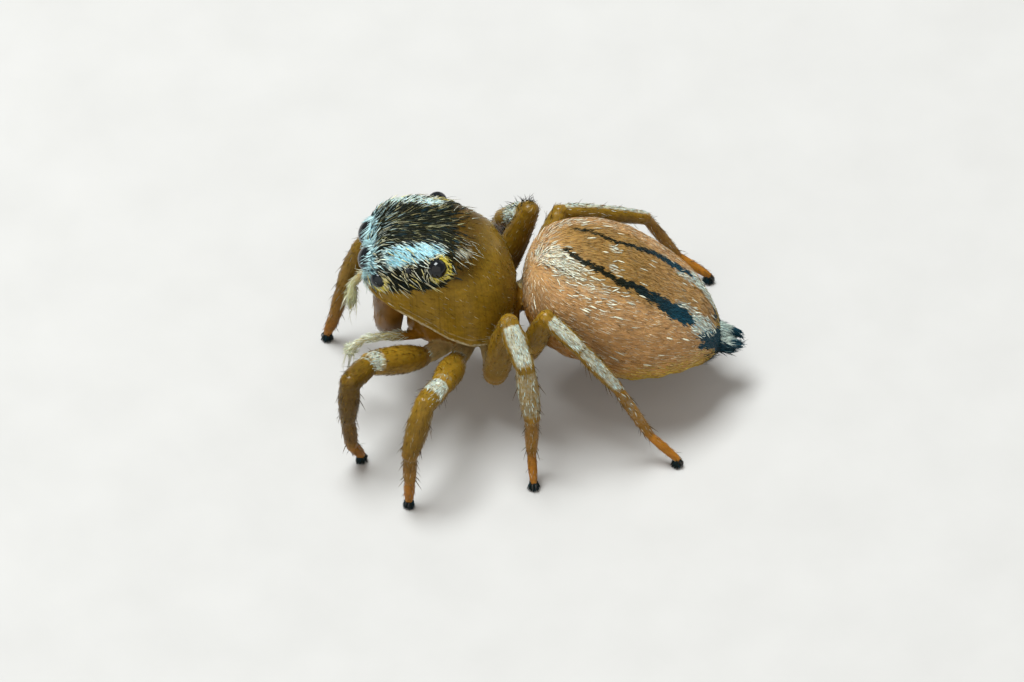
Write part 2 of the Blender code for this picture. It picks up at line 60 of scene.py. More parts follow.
# Sizes of the body, section by section from head to tail, and how many rings join them.
CARAPACE_RINGS, TRUNK_RINGS, ABDOMEN_RINGS, JAW_RINGS, LIMB_RINGS = 73, 31, 91, 49, 33
Shield = namedtuple("Shield", "y half_width margin crown squareness")
CARAPACE = (
    Shield(-2.06, 0.37, 2.18, 2.46, 3.6),
    Shield(-2.02, 0.47, 2.13, 2.61, 4.2),
    Shield(-1.93, 0.56, 2.08, 2.74, 4.8),
    Shield(-1.82, 0.63, 2.03, 2.83, 5.0),
    Shield(-1.68, 0.69, 1.95, 2.88, 5.0),
    Shield(-1.45, 0.74, 1.82, 2.91, 5.0),
    Shield(-1.20, 0.79, 1.68, 2.88, 4.6),
    Shield(-0.95, 0.83, 1.52, 2.85, 3.8),
    Shield(-0.68, 0.85, 1.41, 2.77, 3.0),
    Shield(-0.45, 0.79, 1.37, 2.66, 2.7),
    Shield(-0.27, 0.67, 1.43, 2.44, 2.6),
    Shield(-0.12, 0.47, 1.52, 2.10, 2.5),
    Shield(-0.04, 0.24, 1.62, 1.88, 2.3),
)
MARGIN_DEPTH = 0.09
MARGIN_TUCK = 0.05
MARGIN_SQUARENESS = 4.0
Trunk = namedtuple("Trunk", "y half_width centre rise drop")
TRUNK = (
    Trunk(-1.52, 0.26, 1.42, 0.46, 0.30),
    Trunk(-1.42, 0.38, 1.36, 0.46, 0.34),
    Trunk(-1.20, 0.48, 1.26, 0.50, 0.30),
    Trunk(-0.90, 0.52, 1.20, 0.50, 0.27),
    Trunk(-0.40, 0.52, 1.20, 0.45, 0.27),
    Trunk(-0.12, 0.46, 1.22, 0.45, 0.26),
    Trunk(0.005, 0.26, 1.26, 0.30, 0.20),
)
TRUNK_SQUARENESS = 2.8
Sack = namedtuple("Sack", "y centre half_width half_height")
ABDOMEN = (
    Sack(0.035, 1.72, 0.17, 0.17),
    Sack(0.08, 1.72, 0.40, 0.38),
    Sack(0.18, 1.73, 0.60, 0.58),
    Sack(0.37, 1.725, 0.79, 0.78),
    Sack(0.60, 1.70, 0.90, 0.87),
    Sack(0.85, 1.64, 0.98, 0.93),
    Sack(1.10, 1.555, 1.03, 0.97),
    Sack(1.37, 1.435, 1.06, 0.97),
    Sack(1.61, 1.355, 1.04, 0.89),
    Sack(1.85, 1.275, 0.99, 0.77),
    Sack(2.05, 1.21, 0.91, 0.66),
    Sack(2.25, 1.14, 0.79, 0.57),
    Sack(2.40, 1.06, 0.65, 0.49),
    Sack(2.52, 0.97, 0.49, 0.41),
    Sack(2.62, 0.88, 0.33, 0.30),
    Sack(2.68, 0.83, 0.20, 0.19),
)
ABDOMEN_SQUARENESS = 2.15
PEDICEL_FRONT = (0.0, -0.10, 1.36)
PEDICEL_REAR = (0.0, 0.22, 1.46)
PEDICEL_RADIUS = 0.12

# Eyes of the left side; the right side mirrors them.
Eye = namedtuple("Eye", "name centre radius look rim sink")
EYES = (
    Eye("eye_front_middle", (0.24, -1.955, 2.455), 0.200, (0.0, -1.0, 0.0), 0.0, 0.0),
    Eye("eye_front_side", (0.540, -1.868, 2.385), 0.115, (0.6, -0.8, 0.0), 0.025, 0.06),
    Eye("eye_small", (0.655, -1.475, 2.660), 0.052, (0.8, -0.1, 0.6), 0.018, 0.035),
    Eye("eye_rear", (0.636, -1.100, 2.672), 0.133, (0.8, 0.1, 0.6), 0.03, 0.07),
)
EYE = {eye.name: eye for eye in EYES}

# Legs, with lengths and thickness for coxa, femur, patella, tibia, metatarsus, tarsus.
LegKind = namedtuple("LegKind", "root_x root_y lengths radii")
ROOT_Z = 1.06
LEG_KINDS = {
    1: LegKind(0.46, -1.00, (0.40, 1.00, 0.48, 0.69, 0.52, 0.43),
               ((0.130, 0.135, 0.120), (0.145, 0.205, 0.165), (0.135, 0.165, 0.150),
                (0.135, 0.155, 0.110), (0.100, 0.110, 0.090), (0.085, 0.090, 0.065))),
    2: LegKind(0.46, -0.71, (0.38, 0.92, 0.50, 0.72, 0.51, 0.43),
               ((0.130, 0.135, 0.120), (0.140, 0.195, 0.165), (0.130, 0.165, 0.150),
                (0.140, 0.165, 0.125), (0.095, 0.105, 0.085), (0.080, 0.085, 0.065))),
    3: LegKind(0.46, -0.42, (0.38, 1.32, 0.62, 0.74, 0.72, 0.50),
               ((0.130, 0.135, 0.130), (0.185, 0.205, 0.145), (0.125, 0.165, 0.145),
                (0.130, 0.155, 0.125), (0.095, 0.105, 0.075), (0.070, 0.075, 0.060))),
    4: LegKind(0.42, -0.13, (0.44, 1.02, 0.58, 0.83, 0.90, 0.61),
               ((0.130, 0.130, 0.115), (0.130, 0.170, 0.125), (0.110, 0.130, 0.115),
                (0.105, 0.120, 0.095), (0.080, 0.090, 0.070), (0.065, 0.072, 0.060))),
}
Pose = namedtuple("Pose", "yaws pitches")
LEG_POSES = {
    (1, "l"): Pose((-51, -50, -33, -45, -50, 126), (4, 27, 6, -86, -97)),
    (2, "l"): Pose((-22, -12, -29, -30, -26, -22), (5, 26, 6, -58, -88)),
    (3, "l"): Pose((17, 28, 24, 20, 13, 6), (-33, 73, -34, -68, -92)),
    (4, "l"): Pose((33, 44, 62, 78, 72, 66), (18, 69, -35, -51, -58)),
    (1, "r"): Pose((-55, -72, -94, -105, -112, -96), (3, 58, -50, -69, -76)),
    (2, "r"): Pose((-22, -34, -40, -34, -24, -5), (5, 27, -18, -58, -66)),
    (3, "r"): Pose((12, 76, -50, -12, -6, -4), (-12, 68.5, -44, -60, -72)),
    (4, "r"): Pose((36, 32, 62, 70, 83, 112), (-5, 42, -24, -26, -60)),
}
COXA, FEMUR, PATELLA, TIBIA, METATARSUS, TARSUS = range(6)
BELLY_PLACE = 0.42
FOOT_HEIGHT = 0.13
FOOT_RADIUS = 0.085
PALP_ROOT = (0.40, -1.33, 1.20)
PALP_LENGTHS = (0.57, 0.25, 0.25, 0.42)
PALP_RADII = ((0.075, 0.085, 0.070), (0.065, 0.078, 0.065),
              (0.060, 0.072, 0.065), (0.065, 0.090, 0.050))
PALP_COAT = 0.010
PALP_POSES = {
    "l": Pose((-69, -83, -101, -176), (16, -7, -49, -50)),
    "r": Pose((-74, -90, -98, -90), (18, 9, -53, -87)),
}

# Jaws, fangs, plates of the underside and spinnerets.
Jaw = namedtuple("Jaw", "z y half_width half_depth")
CHELICERA_X = 0.215
CHELICERA_BULGE = 0.05
CHELICERA = (
    Jaw(1.08, -1.73, 0.06, 0.07),
    Jaw(1.12, -1.73, 0.12, 0.13),
    Jaw(1.22, -1.74, 0.165, 0.175),
    Jaw(1.40, -1.75, 0.19, 0.20),
    Jaw(1.65, -1.76, 0.195, 0.205),
    Jaw(1.90, -1.75, 0.18, 0.18),
    Jaw(2.02, -1.74, 0.15, 0.15),
    Jaw(2.06, -1.74, 0.10, 0.10),
)
FANG_BASE = (0.29, -1.74, 1.12)
FANG_REACH = 0.24
FANG_SAG = 0.085
FANG_RADIUS = 0.045
STERNUM_CENTRE = (0.0, -0.62, 0.955)
STERNUM_SIZE = (0.29, 0.50, 0.085)
LABIUM_CENTRE = (0.0, -1.24, 0.985)
LABIUM_SIZE = (0.11, 0.10, 0.09)
MAXILLA_CENTRE = (0.15, -1.36, 1.02)
MAXILLA_SIZE = (0.12, 0.17, 0.11)
SPINNERET_BASE = (0.0, 2.63, 0.79)
SPINNERET_BASE_SIZE = (0.19, 0.11, 0.17)
Spinneret = namedtuple("Spinneret", "x y z dx dy dz root_radius end_radius")
SPINNERETS = (
    Spinneret(0.090, 2.64, 0.82, 0.03, 0.30, -0.10, 0.082, 0.050),
    Spinneret(0.075, 2.63, 0.70, 0.00, 0.22, -0.13, 0.078, 0.045),
)
TUBERCLE = Spinneret(0.0, 2.62, 0.89, 0.0, 0.14, 0.02, 0.10, 0.06)
CONE_STEPS = (0.0, 0.12, 0.25, 0.38, 0.5, 0.62, 0.75, 0.86, 0.94, 1.0)
BRUSH_POINT = (0.0, 3.05, 0.66)

# Claws of each foot: height and reach of points on their curve, and thickness there.
CLAW_CURVE = ((0.11, 0.02), (0.105, 0.055), (0.085, 0.075), (0.055, 0.080), (0.035, 0.070))
CLAW_RADII = (0.012, 0.011, 0.009, 0.006, 0.002)
CLAW_SPREAD = 0.022
PAD_HEIGHT = 0.080
PAD_SIZE = (0.045, 0.045, 0.060)
TUFT_HAIRS = 420
TUFT_ROOT = 0.048
TUFT_LOW = 0.055
TUFT_RISE = 0.085

SIDES = ("l", "r")
rng = np.random.default_rng(SEED)


# Small helpers for numbers and directions.

def unit(v):
    v = np.asarray(v, float)
    return v / (np.linalg.norm(v, axis=-1, keepdims=True) + 1e-12)


def dot(a, b):
    return np.sum(a * b, axis=-1)


def flattened(ways, normals, share=1.0):
    """Ways without the part of them that stands off the surface, or without a share of it."""
    return ways - normals * dot(ways, normals)[:, None] * share


def ease(value, low, high):
    """0 below low, 1 above high, smooth between; high may be the lower one."""
    t = np.clip((value - low) / (high - low), 0.0, 1.0)
    return t * t * (3.0 - 2.0 * t)


def bump_at(value, middle, reach):
    """1 at the middle and 0 a reach away, smooth between."""
    return 1.0 - ease(np.abs(value - middle), 0.0, reach)


def table(value, pairs):
    """Straight-line values between (place, value) pairs."""
    places, values = zip(*pairs)
    return np.interp(value, places, values)


def sign_of(side):
    """1 on the left, -1 on the right."""
    return 1.0 if side == "l" else -1.0


def mirrored(v, side):
    return np.array((sign_of(side) * v[0], v[1], v[2]), float)


def smooth_rows(stations, count):
    """Stations resampled along their first value, with no overshoot."""
    rows = np.array([tuple(row) for row in stations], float)
    steps = np.diff(rows[:, 0])
    slopes = np.diff(rows, axis=0) / steps[:, None]
    tangents = np.empty_like(rows)
    tangents[0], tangents[-1] = slopes[0], slopes[-1]
    product = slopes[:-1] * slopes[1:]
    total = slopes[:-1] + slopes[1:]
    tangents[1:-1] = np.where(product > 0.0, 2.0 * product / np.where(total == 0.0, 1.0, total), 0.0)
    place = np.linspace(0.0, len(rows) - 1, count)
    i = np.minimum(place.astype(int), len(rows) - 2)
    t = (place - i)[:, None]
    h = steps[i][:, None]
    out = ((2 * t**3 - 3 * t**2 + 1) * rows[i] + (t**3 - 2 * t**2 + t) * h * tangents[i]
           + (3 * t**2 - 2 * t**3) * rows[i + 1] + (t**3 - t**2) * h * tangents[i + 1])
    out[:, 0] = rows[i, 0] + t[:, 0] * h[:, 0]
    return out


def half_section(half_width, height, power, count, sign):
    """Half a rounded section from +X over to -X, in even steps along its edge."""
    angle = np.linspace(0.0, math.pi, 24 * count + 1)
    x = half_width * np.sign(np.cos(angle)) * np.abs(np.cos(angle)) ** (2.0 / power)
    z = sign * height * np.abs(np.sin(angle)) ** (2.0 / power)
    run = np.concatenate(([0.0], np.cumsum(np.hypot(np.diff(x), np.diff(z)))))
    target = np.linspace(0.0, run[-1], count + 1)[:-1]
    return np.interp(target, run, x), np.interp(target, run, z)


# Meshes are kept as (points, faces) until a piece is made of them.

def loft(rings):
    """Closed surface through rings of equal length, with fanned ends."""
    rings = np.asarray(rings, float)
    count, sides = rings.shape[:2]
    points = np.vstack([rings.reshape(-1, 3), rings[0].mean(0), rings[-1].mean(0)])
    k = np.arange(sides)
    after = (k + 1) % sides
    faces = []
    for r in range(count - 1):
        a, b = r * sides, (r + 1) * sides
        faces += list(zip(a + k, a + after, b + after, b + k))
    first, last = count * sides, count * sides + 1
    faces += list(zip(k, np.full(sides, first), after))
    faces += list(zip((count - 1) * sides + k, (count - 1) * sides + after, np.full(sides, last)))
    return points, faces


def body_shape(stations, count, halves):
    """A body through its stations; halves gives the base height and both half-sections."""
    rings = []
    for y, *sizes in smooth_rows(stations, count):
        base, (upper_x, upper_z), (lower_x, lower_z) = halves(*sizes)
        x = np.concatenate([upper_x, -lower_x])
        z = np.concatenate([upper_z, lower_z])
        rings.append(np.stack([x, np.full_like(x, y), base + z], axis=1))
    return loft(rings)


def carapace_halves(half_width, margin, crown, power):
    tuck = max(half_width - MARGIN_TUCK, 0.5 * half_width)
    return (margin, half_section(half_width, crown - margin, power, 84, 1.0),
            half_section(tuck, MARGIN_DEPTH, MARGIN_SQUARENESS, 28, -1.0))


def trunk_halves(half_width, centre, rise, drop):
    return (centre, half_section(half_width, rise, TRUNK_SQUARENESS, 32, 1.0),
            half_section(half_width, drop, TRUNK_SQUARENESS, 32, -1.0))


def abdomen_halves(centre, half_width, half_height):
    return (centre, half_section(half_width, half_height, ABDOMEN_SQUARENESS, 64, 1.0),
            half_section(half_width, half_height, ABDOMEN_SQUARENESS, 64, -1.0))


def circle_steps(sides):
    """Even angles once round, each in a row of its own."""
    return np.linspace(0.0, 2 * math.pi, sides, endpoint=False)[:, None]


def ball(centre, size, sides=32):
    """Ellipsoid with half-sizes, its poles along Z."""
    lines = []
    for lat in np.linspace(-math.pi / 2, math.pi / 2, sides // 2 + 1)[1:-1]:
        angle = np.linspace(0.0, 2 * math.pi, sides, endpoint=False)
        ring = np.stack([np.cos(lat) * np.cos(angle), np.cos(lat) * np.sin(angle),
                         np.full(sides, np.sin(lat))], axis=1)
        lines.append(np.asarray(centre, float) + ring * np.asarray(size, float))
    return loft(lines)


def across(direction):
    """Two unit vectors at right angles to a direction."""
    guide = np.array((0.0, 0.0, 1.0))
    if abs(unit(direction)[2]) > 0.95:
        guide = np.array((0.0, 1.0, 0.0))
    first = unit(np.cross(direction, guide))
    return first, unit(np.cross(direction, first))


def tube(start, end, profile, sides=28):
    """Round piece along a straight axis; profile gives (place along, radius)."""
    start, end = np.asarray(start, float), np.asarray(end, float)
    axis = unit(end - start)
    first, second = across(axis)
    angle = circle_steps(sides)
    circle = np.cos(angle) * first + np.sin(angle) * second
    return loft([start + axis * along + radius * circle for along, radius in profile])


def segment_profile(length, radii):
    """Outline of one limb segment: round at both joints, with a belly between."""
    base, belly, tip = radii
    return smooth_rows((
        (-0.98 * base, 0.12 * base),
        (-0.80 * base, 0.60 * base),
        (-0.35 * base, 0.92 * base),
        (0.12 * length, 0.5 * (base + belly)),
        (BELLY_PLACE * length, belly),
        (0.82 * length, 0.45 * belly + 0.55 * tip),
        (length + 0.25 * tip, 0.96 * tip),
        (length + 0.62 * tip, 0.74 * tip),
        (length + 0.90 * tip, 0.30 * tip),
    ), LIMB_RINGS)


def horn(points, radii, sides=16):
    """Tapered round piece along a few points."""
    points = [np.asarray(p, float) for p in points]
    angle = circle_steps(sides)
    rings = []
    for i, (point, radius) in enumerate(zip(points, radii)):
        step = points[min(i + 1, len(points) - 1)] - points[max(i - 1, 0)]
        first, second = across(step)
        rings.append(point + radius * (np.cos(angle) * first + np.sin(angle) * second))
    return loft(rings)


# Joints of the limbs.

def heading(side, yaw, pitch):
    yaw, pitch = math.radians(yaw), math.radians(pitch)
    return np.array((sign_of(side) * math.cos(yaw) * math.cos(pitch),
                     math.sin(yaw) * math.cos(pitch), math.sin(pitch)))


def chain(root, side, lengths, pose):
    joints = [np.asarray(root, float)]
    for length, yaw, pitch in zip(lengths, pose.yaws, pose.pitches):
        joints.append(joints[-1] + length * heading(side, yaw, pitch))
    return joints


def leg_joints(pair, side):
    """Joints of one leg, the last one at foot height above the floor."""
    kind, pose = LEG_KINDS[pair], LEG_POSES[pair, side]
    joints = chain(mirrored((kind.root_x, kind.root_y, ROOT_Z), side), side, kind.lengths, pose)
    drop = joints[-1][2] - FOOT_HEIGHT
    tarsus = kind.lengths[-1] - FOOT_HEIGHT
    level = math.sqrt(max(tarsus ** 2 - drop ** 2, 0.0))
    foot = joints[-1] + heading(side, pose.yaws[-1], 0.0) * level
    foot[2] = FOOT_HEIGHT
    return joints + [foot]


# Every limb segment, with the number of its limb and its own number in it.
Segment = namedtuple("Segment", "limb name part start end radii")
segments = []
LIMBS = [(pair, side) for side in SIDES for pair in LEG_KINDS] + [("palp", side) for side in SIDES]
LEGS = LIMBS[:8]
for limb, (kind, side) in enumerate(LIMBS):
    if kind == "palp":
        joints = chain(mirrored(PALP_ROOT, side), side, PALP_LENGTHS, PALP_POSES[side])
        thickness = np.array(PALP_RADII) - PALP_COAT
    else:
        joints = leg_joints(kind, side)
        thickness = LEG_KINDS[kind].radii
    for part, radii in enumerate(thickness):
        segments.append(Segment(limb, (kind, side), part, joints[part], joints[part + 1], radii))


def top_of(axis, side):
    """The upper side of a limb, turned a little outwards."""
    outward = np.array((0.6 * sign_of(side), 0.0, 1.0))
    return unit(outward - axis * (outward @ axis))


def radius_at(place, radii):
    """Thickness of a limb segment at places from 0 to 1 along it."""
    return np.interp(place, (0.0, BELLY_PLACE, 1.0), radii)


# The place of the whole model, from the solid rear eyes.
low_l, high_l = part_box("eye_rear_l")
low_r, high_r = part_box("eye_rear_r")
home = np.array(((low_l[0] + high_l[0] + low_r[0] + high_r[0]) / 4,
                 (low_l[1] + high_l[1]) / 2 - EYE["eye_rear"].centre[1] * MM, 0.0))


def to_metres(points):
    return np.asarray(points, float) * MM + home


def merged(shapes):
    """Several (points, faces) in one."""
    points, faces, start = [], [], 0
    for p, f in shapes:
        points.append(p)
        faces += [tuple(int(i) + start for i in face) for face in f]
        start += len(p)
    return np.vstack(points), faces


def mesh_of(name, points, faces):
    mesh = bpy.data.meshes.new(name)
    mesh.from_pydata(np.asarray(points, float).tolist(), [], [list(map(int, f)) for f in faces])
    mesh.validate()
    return mesh


def placed(name, data):
    """A new object in the scene."""
    obj = bpy.data.objects.new(name, data)
    bpy.context.scene.collection.objects.link(obj)
    return obj


def piece(name, mesh, material, replaced=()):
    """Show a mesh as a piece of the model, riding on its one body."""
    mesh.name = name
    mesh.shade_smooth()
    mesh.materials.clear()
    mesh.materials.append(material)
    obj = placed(name, mesh)
    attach(obj, "root")
    if replaced:
        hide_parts(*replaced)


def solid_piece(name, shape, material, replaced):
    """Show (points, faces) in millimetres as a piece."""
    points, faces = shape
    piece(name, mesh_of(name, to_metres(points), faces), material, replaced)


# The skin: all flesh in one closed surface, so that no seam shows.

def flesh_shapes():
    shapes = [body_shape(CARAPACE, CARAPACE_RINGS, carapace_halves),
              body_shape(TRUNK, TRUNK_RINGS, trunk_halves),
              body_shape(ABDOMEN, ABDOMEN_RINGS, abdomen_halves)]
    shapes.append(horn([PEDICEL_FRONT, PEDICEL_REAR], [PEDICEL_RADIUS] * 2, 24))
    shapes.append(ball(STERNUM_CENTRE, STERNUM_SIZE))
    shapes.append(ball(LABIUM_CENTRE, LABIUM_SIZE))
    for side in SIDES:
        shapes.append(ball(mirrored(MAXILLA_CENTRE, side), MAXILLA_SIZE))
        for eye in EYES:
            if eye.sink > 0.0:
                centre = mirrored(np.array(eye.centre) - unit(eye.look) * eye.sink, side)
                shapes.append(ball(centre, (eye.radius + eye.rim,) * 3))
    for s in segments:
        length = np.linalg.norm(s.end - s.start)
        shapes.append(tube(s.start, s.end, segment_profile(length, s.radii)))
    return shapes


def voxel_skin():
    """All the flesh fused into one mesh of even small faces."""
    raw = placed("flesh", mesh_of("flesh", *merged(flesh_shapes())))
    fuse = raw.modifiers.new("fuse", "REMESH")
    fuse.mode = "VOXEL"
    fuse.voxel_size = VOXEL
    graph = bpy.context.evaluated_depsgraph_get()
    mesh = bpy.data.meshes.new_from_object(raw.evaluated_get(graph))
    bpy.data.objects.remove(raw, do_unlink=True)
    return mesh


def relax(points, edges, rounds):
    """Even the surface out without shrinking it."""
    count = len(points)
    share = 1.0 / np.maximum(np.bincount(edges.ravel(), minlength=count), 1)
    for turn in range(rounds):
        total = np.stack([np.bincount(edges[:, 0], points[edges[:, 1], c], count)
                          + np.bincount(edges[:, 1], points[edges[:, 0], c], count)
                          for c in range(3)], axis=1)
        points = points + RELAX_STEPS[turn % 2] * (total * share[:, None] - points)
    return points


def read(source, name, kind, width):
    """Values of all vertices or edges of a mesh."""
    values = np.empty(len(source) * width, kind)
    source.foreach_get(name, values)
    return values.reshape(-1, width)


skin_mesh = voxel_skin()
skin_points = read(skin_mesh.vertices, "co", np.float64, 3)
skin_edges = read(skin_mesh.edges, "vertices", np.int32, 2)
skin_points = relax(skin_points, skin_edges, RELAX_ROUNDS)


# Where each point lies: body part, limb, place along it and side of it.
CARAPACE_PART, TRUNK_PART, ABDOMEN_PART, LIMB_PART = range(4)

# Limits between the parts: places on the body, and distances from the nearest limb.
STALK_Y = 0.03
FACE_Y = -1.7
FACE_LOW = 1.6
MARGIN_SLACK = 0.02
TRUNK_SLACK = 0.03
ABDOMEN_EDGE = 1.12
ABDOMEN_CLEAR = -0.005
SHIELD_CLEAR = 0.02
TRUNK_CLEAR = 0.012
LIMB_REACH = 0.04


class Places:
    """Body coordinates of many points at once, in millimetres, and their place on limbs."""

    def __init__(self, points):
        self.x, self.y, self.z = points.T
        self.side = np.abs(self.x)
        count = len(points)
        nearest = np.full(count, 1e9)
        self.limb = np.full(count, -1)
        self.segment = np.zeros(count, int)
        self.along = np.zeros(count)
        self.upper = np.zeros(count)
        self.flank = np.zeros(count)
        self.axis = np.zeros((count, 3))
        for s in segments:
            span = s.end - s.start
            length = np.linalg.norm(span)
            axis = span / length
            rel = points - s.start
            along = rel @ axis / length
            place = np.clip(along, 0.0, 1.0)
            radial = rel - np.outer(place * length, axis)
            gap = np.linalg.norm(radial, axis=1) - radius_at(place, s.radii)
            better = gap < nearest
            nearest = np.where(better, gap, nearest)
            top = top_of(axis, s.name[1])
            around = unit(rel - np.outer(along * length, axis))
            self.limb[better] = s.limb
            self.segment[better] = s.part
            self.along[better] = along[better]
            self.upper[better] = (around @ top)[better]
            self.flank[better] = (around @ np.cross(axis, top))[better]
            self.axis[better] = axis
        self.run = self.segment + np.clip(self.along, 0.0, 1.0)
        self.margin = table(self.y, [(r.y, r.margin) for r in CARAPACE])
        half = table(self.y, [(r.y, r.half_width) for r in TRUNK])
        centre, wide, high = [table(self.y, [(r.y, r[k]) for r in ABDOMEN]) for k in (1, 2, 3)]
        self.girth = 0.5 * (wide + high)
        self.round = np.arctan2(self.x / wide, (self.z - centre) / high)
        inside = np.hypot(self.x / wide, (self.z - centre) / high)
        abdomen = (self.y > STALK_Y) & (inside < ABDOMEN_EDGE) & (nearest > ABDOMEN_CLEAR)
        face = self.y < FACE_Y
        shield = (self.z > self.margin - MARGIN_SLACK) & (self.y < 0.0) & (self.side < 1.0)
        shield &= (nearest > SHIELD_CLEAR) | face
        shield |= face & (self.z > FACE_LOW) & (nearest > LIMB_REACH)
        trunk = (self.y < STALK_Y) & (self.side < half + TRUNK_SLACK) & (nearest > TRUNK_CLEAR)
        self.part = np.where(nearest < LIMB_REACH, LIMB_PART, TRUNK_PART)
        self.part[trunk] = TRUNK_PART
        self.part[shield] = CARAPACE_PART
        self.part[abdomen] = ABDOMEN_PART

    def take(self, chosen):
        """The same coordinates for some of the points."""
        other = Places.__new__(Places)
        for key, value in self.__dict__.items():
            setattr(other, key, value[chosen])
        return other

    def on(self, part):
        return (self.part == part).astype(float)

    def pick(self, values, rest):
        """Values chosen by body part, and another one for all the rest."""
        return np.select([self.part == part for part in values], list(values.values()), rest)


# Markings. Each function gives values from 0 to 1 that skin and coat share.

# Dark lines of the back, as degrees from its top towards the left side, and half their
# widths in millimetres, both by the place along the body.
LEFT_LINE = ((0.45, 8), (0.61, 12), (0.80, 20), (0.99, 24), (1.17, 27), (1.33, 30), (1.49, 28),
             (1.65, 30), (1.81, 30), (2.00, 34), (2.19, 36), (2.29, 39))
RIGHT_LINE = ((0.45, -16), (0.75, -14), (0.93, -11), (1.12, -7), (1.33, -6), (1.60, -10),
              (1.81, -16), (2.00, -18), (2.13, -19), (2.29, -23))
LEFT_HALF = ((0.52, 0.0), (0.58, 0.026), (0.80, 0.036), (1.0, 0.042), (1.2, 0.034), (1.36, 0.056),
             (1.5, 0.046), (1.62, 0.074), (1.75, 0.064), (1.95, 0.098), (2.2, 0.104), (2.29, 0.05),
             (2.33, 0.0))
RIGHT_HALF = ((0.66, 0.0), (0.74, 0.016), (1.0, 0.024), (1.3, 0.024), (1.6, 0.034), (1.9, 0.052),
              (2.14, 0.062), (2.27, 0.03), (2.33, 0.0))

# Edges of the pale patch at the front of the abdomen, in degrees off the middle of the back.
FRONT_INNER_LEFT = ((0.30, -9), (0.36, -4), (0.50, 1), (0.65, 9), (0.80, 18), (1.0, 22))
FRONT_INNER_RIGHT = ((0.30, -9), (0.38, 2), (0.45, 18), (0.80, 20), (1.0, 18))
FRONT_OUTER = ((0.05, 60), (0.33, 50), (0.50, 46), (0.80, 42), (1.0, 40))
BACK_MIDDLE = ((0.0, 4), (0.75, 2), (0.93, 6), (1.12, 9.5), (1.33, 12), (1.6, 10), (1.81, 7), (2.6, 8))
FRONT_LEVEL = ((0.1, 2.25), (0.5, 1.97), (0.95, 1.66), (1.5, 1.30))
LINE_BLUE = ((0.5, 0.0), (1.3, 0.02), (1.6, 0.22), (1.9, 0.55), (2.1, 1.0))

# Lower edge of the head's black area, and the sky blue band across it.
FIELD_EDGE = ((-2.1, 2.20), (-1.87, 2.25), (-1.45, 2.34), (-1.0, 2.46), (-0.8, 2.62))
BAND_HALF = ((-1.9, 0.16), (-1.73, 0.19), (-1.6, 0.21), (-1.27, 0.145), (-1.09, 0.09), (-0.95, 0.04))
BAND_MIDDLE = ((-1.9, 2.22), (-1.73, 2.24), (-1.6, 2.28), (-1.27, 2.38), (-1.0, 2.39))

# Pale scale patches of the limbs, and painted highlights at the roots of the first two legs: segment, from,
# to, strength, how far down the side.
LEG_PATCHES_AND_HIGHLIGHTS = {
    (1, "l"): ((FEMUR, 0.78, 1.2, 1.0, 0.25), (PATELLA, -0.4, 0.32, 1.0, 0.25),
               # Painted highlights: pale patches on the coxa and the root of the femur stand for glints of
               # light on the glossy joints.
               (COXA, 0.6, 1.2, 0.5, 0.3), (FEMUR, -0.3, 0.10, 0.5, 0.3)),
    (2, "l"): ((FEMUR, 0.90, 1.2, 0.5, 0.4), (PATELLA, -0.3, 0.80, 1.0, 0.30),
               (PATELLA, 0.5, 1.2, 0.20, 0.1), (TIBIA, -0.2, 0.5, 0.12, 0.0),
               # Painted highlights on the coxa and the root of the femur, as on the first leg; the right
               # second leg shares them.
               (COXA, 0.6, 1.2, 0.5, 0.3), (FEMUR, -0.3, 0.10, 0.5, 0.3)),
    (3, "l"): ((FEMUR, 0.93, 1.2, 0.5, 0.3), (PATELLA, -0.1, 1.15, 0.80, 0.40),
               (TIBIA, -0.1, 1.1, 0.42, -0.3)),
    (4, "l"): ((PATELLA, -0.2, 1.2, 0.9, 0.52), (TIBIA, -0.2, 1.15, 0.85, 0.52),
               (METATARSUS, -0.1, 0.9, 0.30, 0.3)),
    (1, "r"): ((FEMUR, 0.85, 1.2, 0.45, 0.4), (PATELLA, -0.1, 0.5, 0.4, 0.4)),
    (3, "r"): ((PATELLA, 0.10, 0.80, 1.0, -0.9), (TIBIA, 0.0, 1.0, 0.35, 0.3)),
    ("palp", "l"): ((FEMUR, -0.2, 1.1, 0.5, 0.6), (PATELLA, -0.1, 1.1, 0.5, 0.6)),
}
for same, other in (((2, "r"), (2, "l")), ((4, "r"), (4, "l")), (("palp", "r"), ("palp", "l"))):
    LEG_PATCHES_AND_HIGHLIGHTS[same] = LEG_PATCHES_AND_HIGHLIGHTS[other]

# Darkness and warmth of the ground colour, by the distance along a leg in segments.
LEG_TONE = {
    (1, "l"): ((0, 0.0), (1.1, 0.0), (1.9, 0.05), (2.5, 0.65), (3.5, 0.90), (4.6, 0.78), (5.0, 0.35),
               (5.9, 0.15)),
    (1, "r"): ((0, 0.2), (1.1, 0.40), (3.0, 0.50), (4.5, 0.45), (5.9, 0.35)),
    (2, "l"): ((0, 0.0), (1.1, 0.05), (2.9, 0.15), (3.4, 0.55), (4.3, 0.50), (5.0, 0.1), (5.9, 0.10)),
    (3, "r"): ((0, 0.1), (1.1, 0.35), (2.0, 0.50), (3.0, 0.30), (4.6, 0.30), (5.9, 0.10)),
}
USUAL_TONE = ((0, 0.0), (1.1, 0.15), (2.9, 0.18), (3.2, 0.25), (4.0, 0.30), (4.8, 0.30), (5.1, 0.1),
              (5.9, 0.10))
LEG_WARMTH = ((0, 0.9), (0.8, 0.85), (1.15, 0.12), (3.0, 0.05), (3.9, 0.15), (4.1, 0.5), (4.8, 0.55),
              (5.1, 0.95), (5.9, 1.0))


def slant(at):
    """Height less distance from the middle: the same all along one line of the camera's view."""
    return at.z - at.side


def eye_field(at):
    """Black area of the head that holds the eyes."""
    low_edge = table(at.y, FIELD_EDGE)
    rear = ease(at.y, -0.60, -1.12)
    return rear * ease(at.z, low_edge - 0.03, low_edge + 0.05) * at.on(CARAPACE_PART)


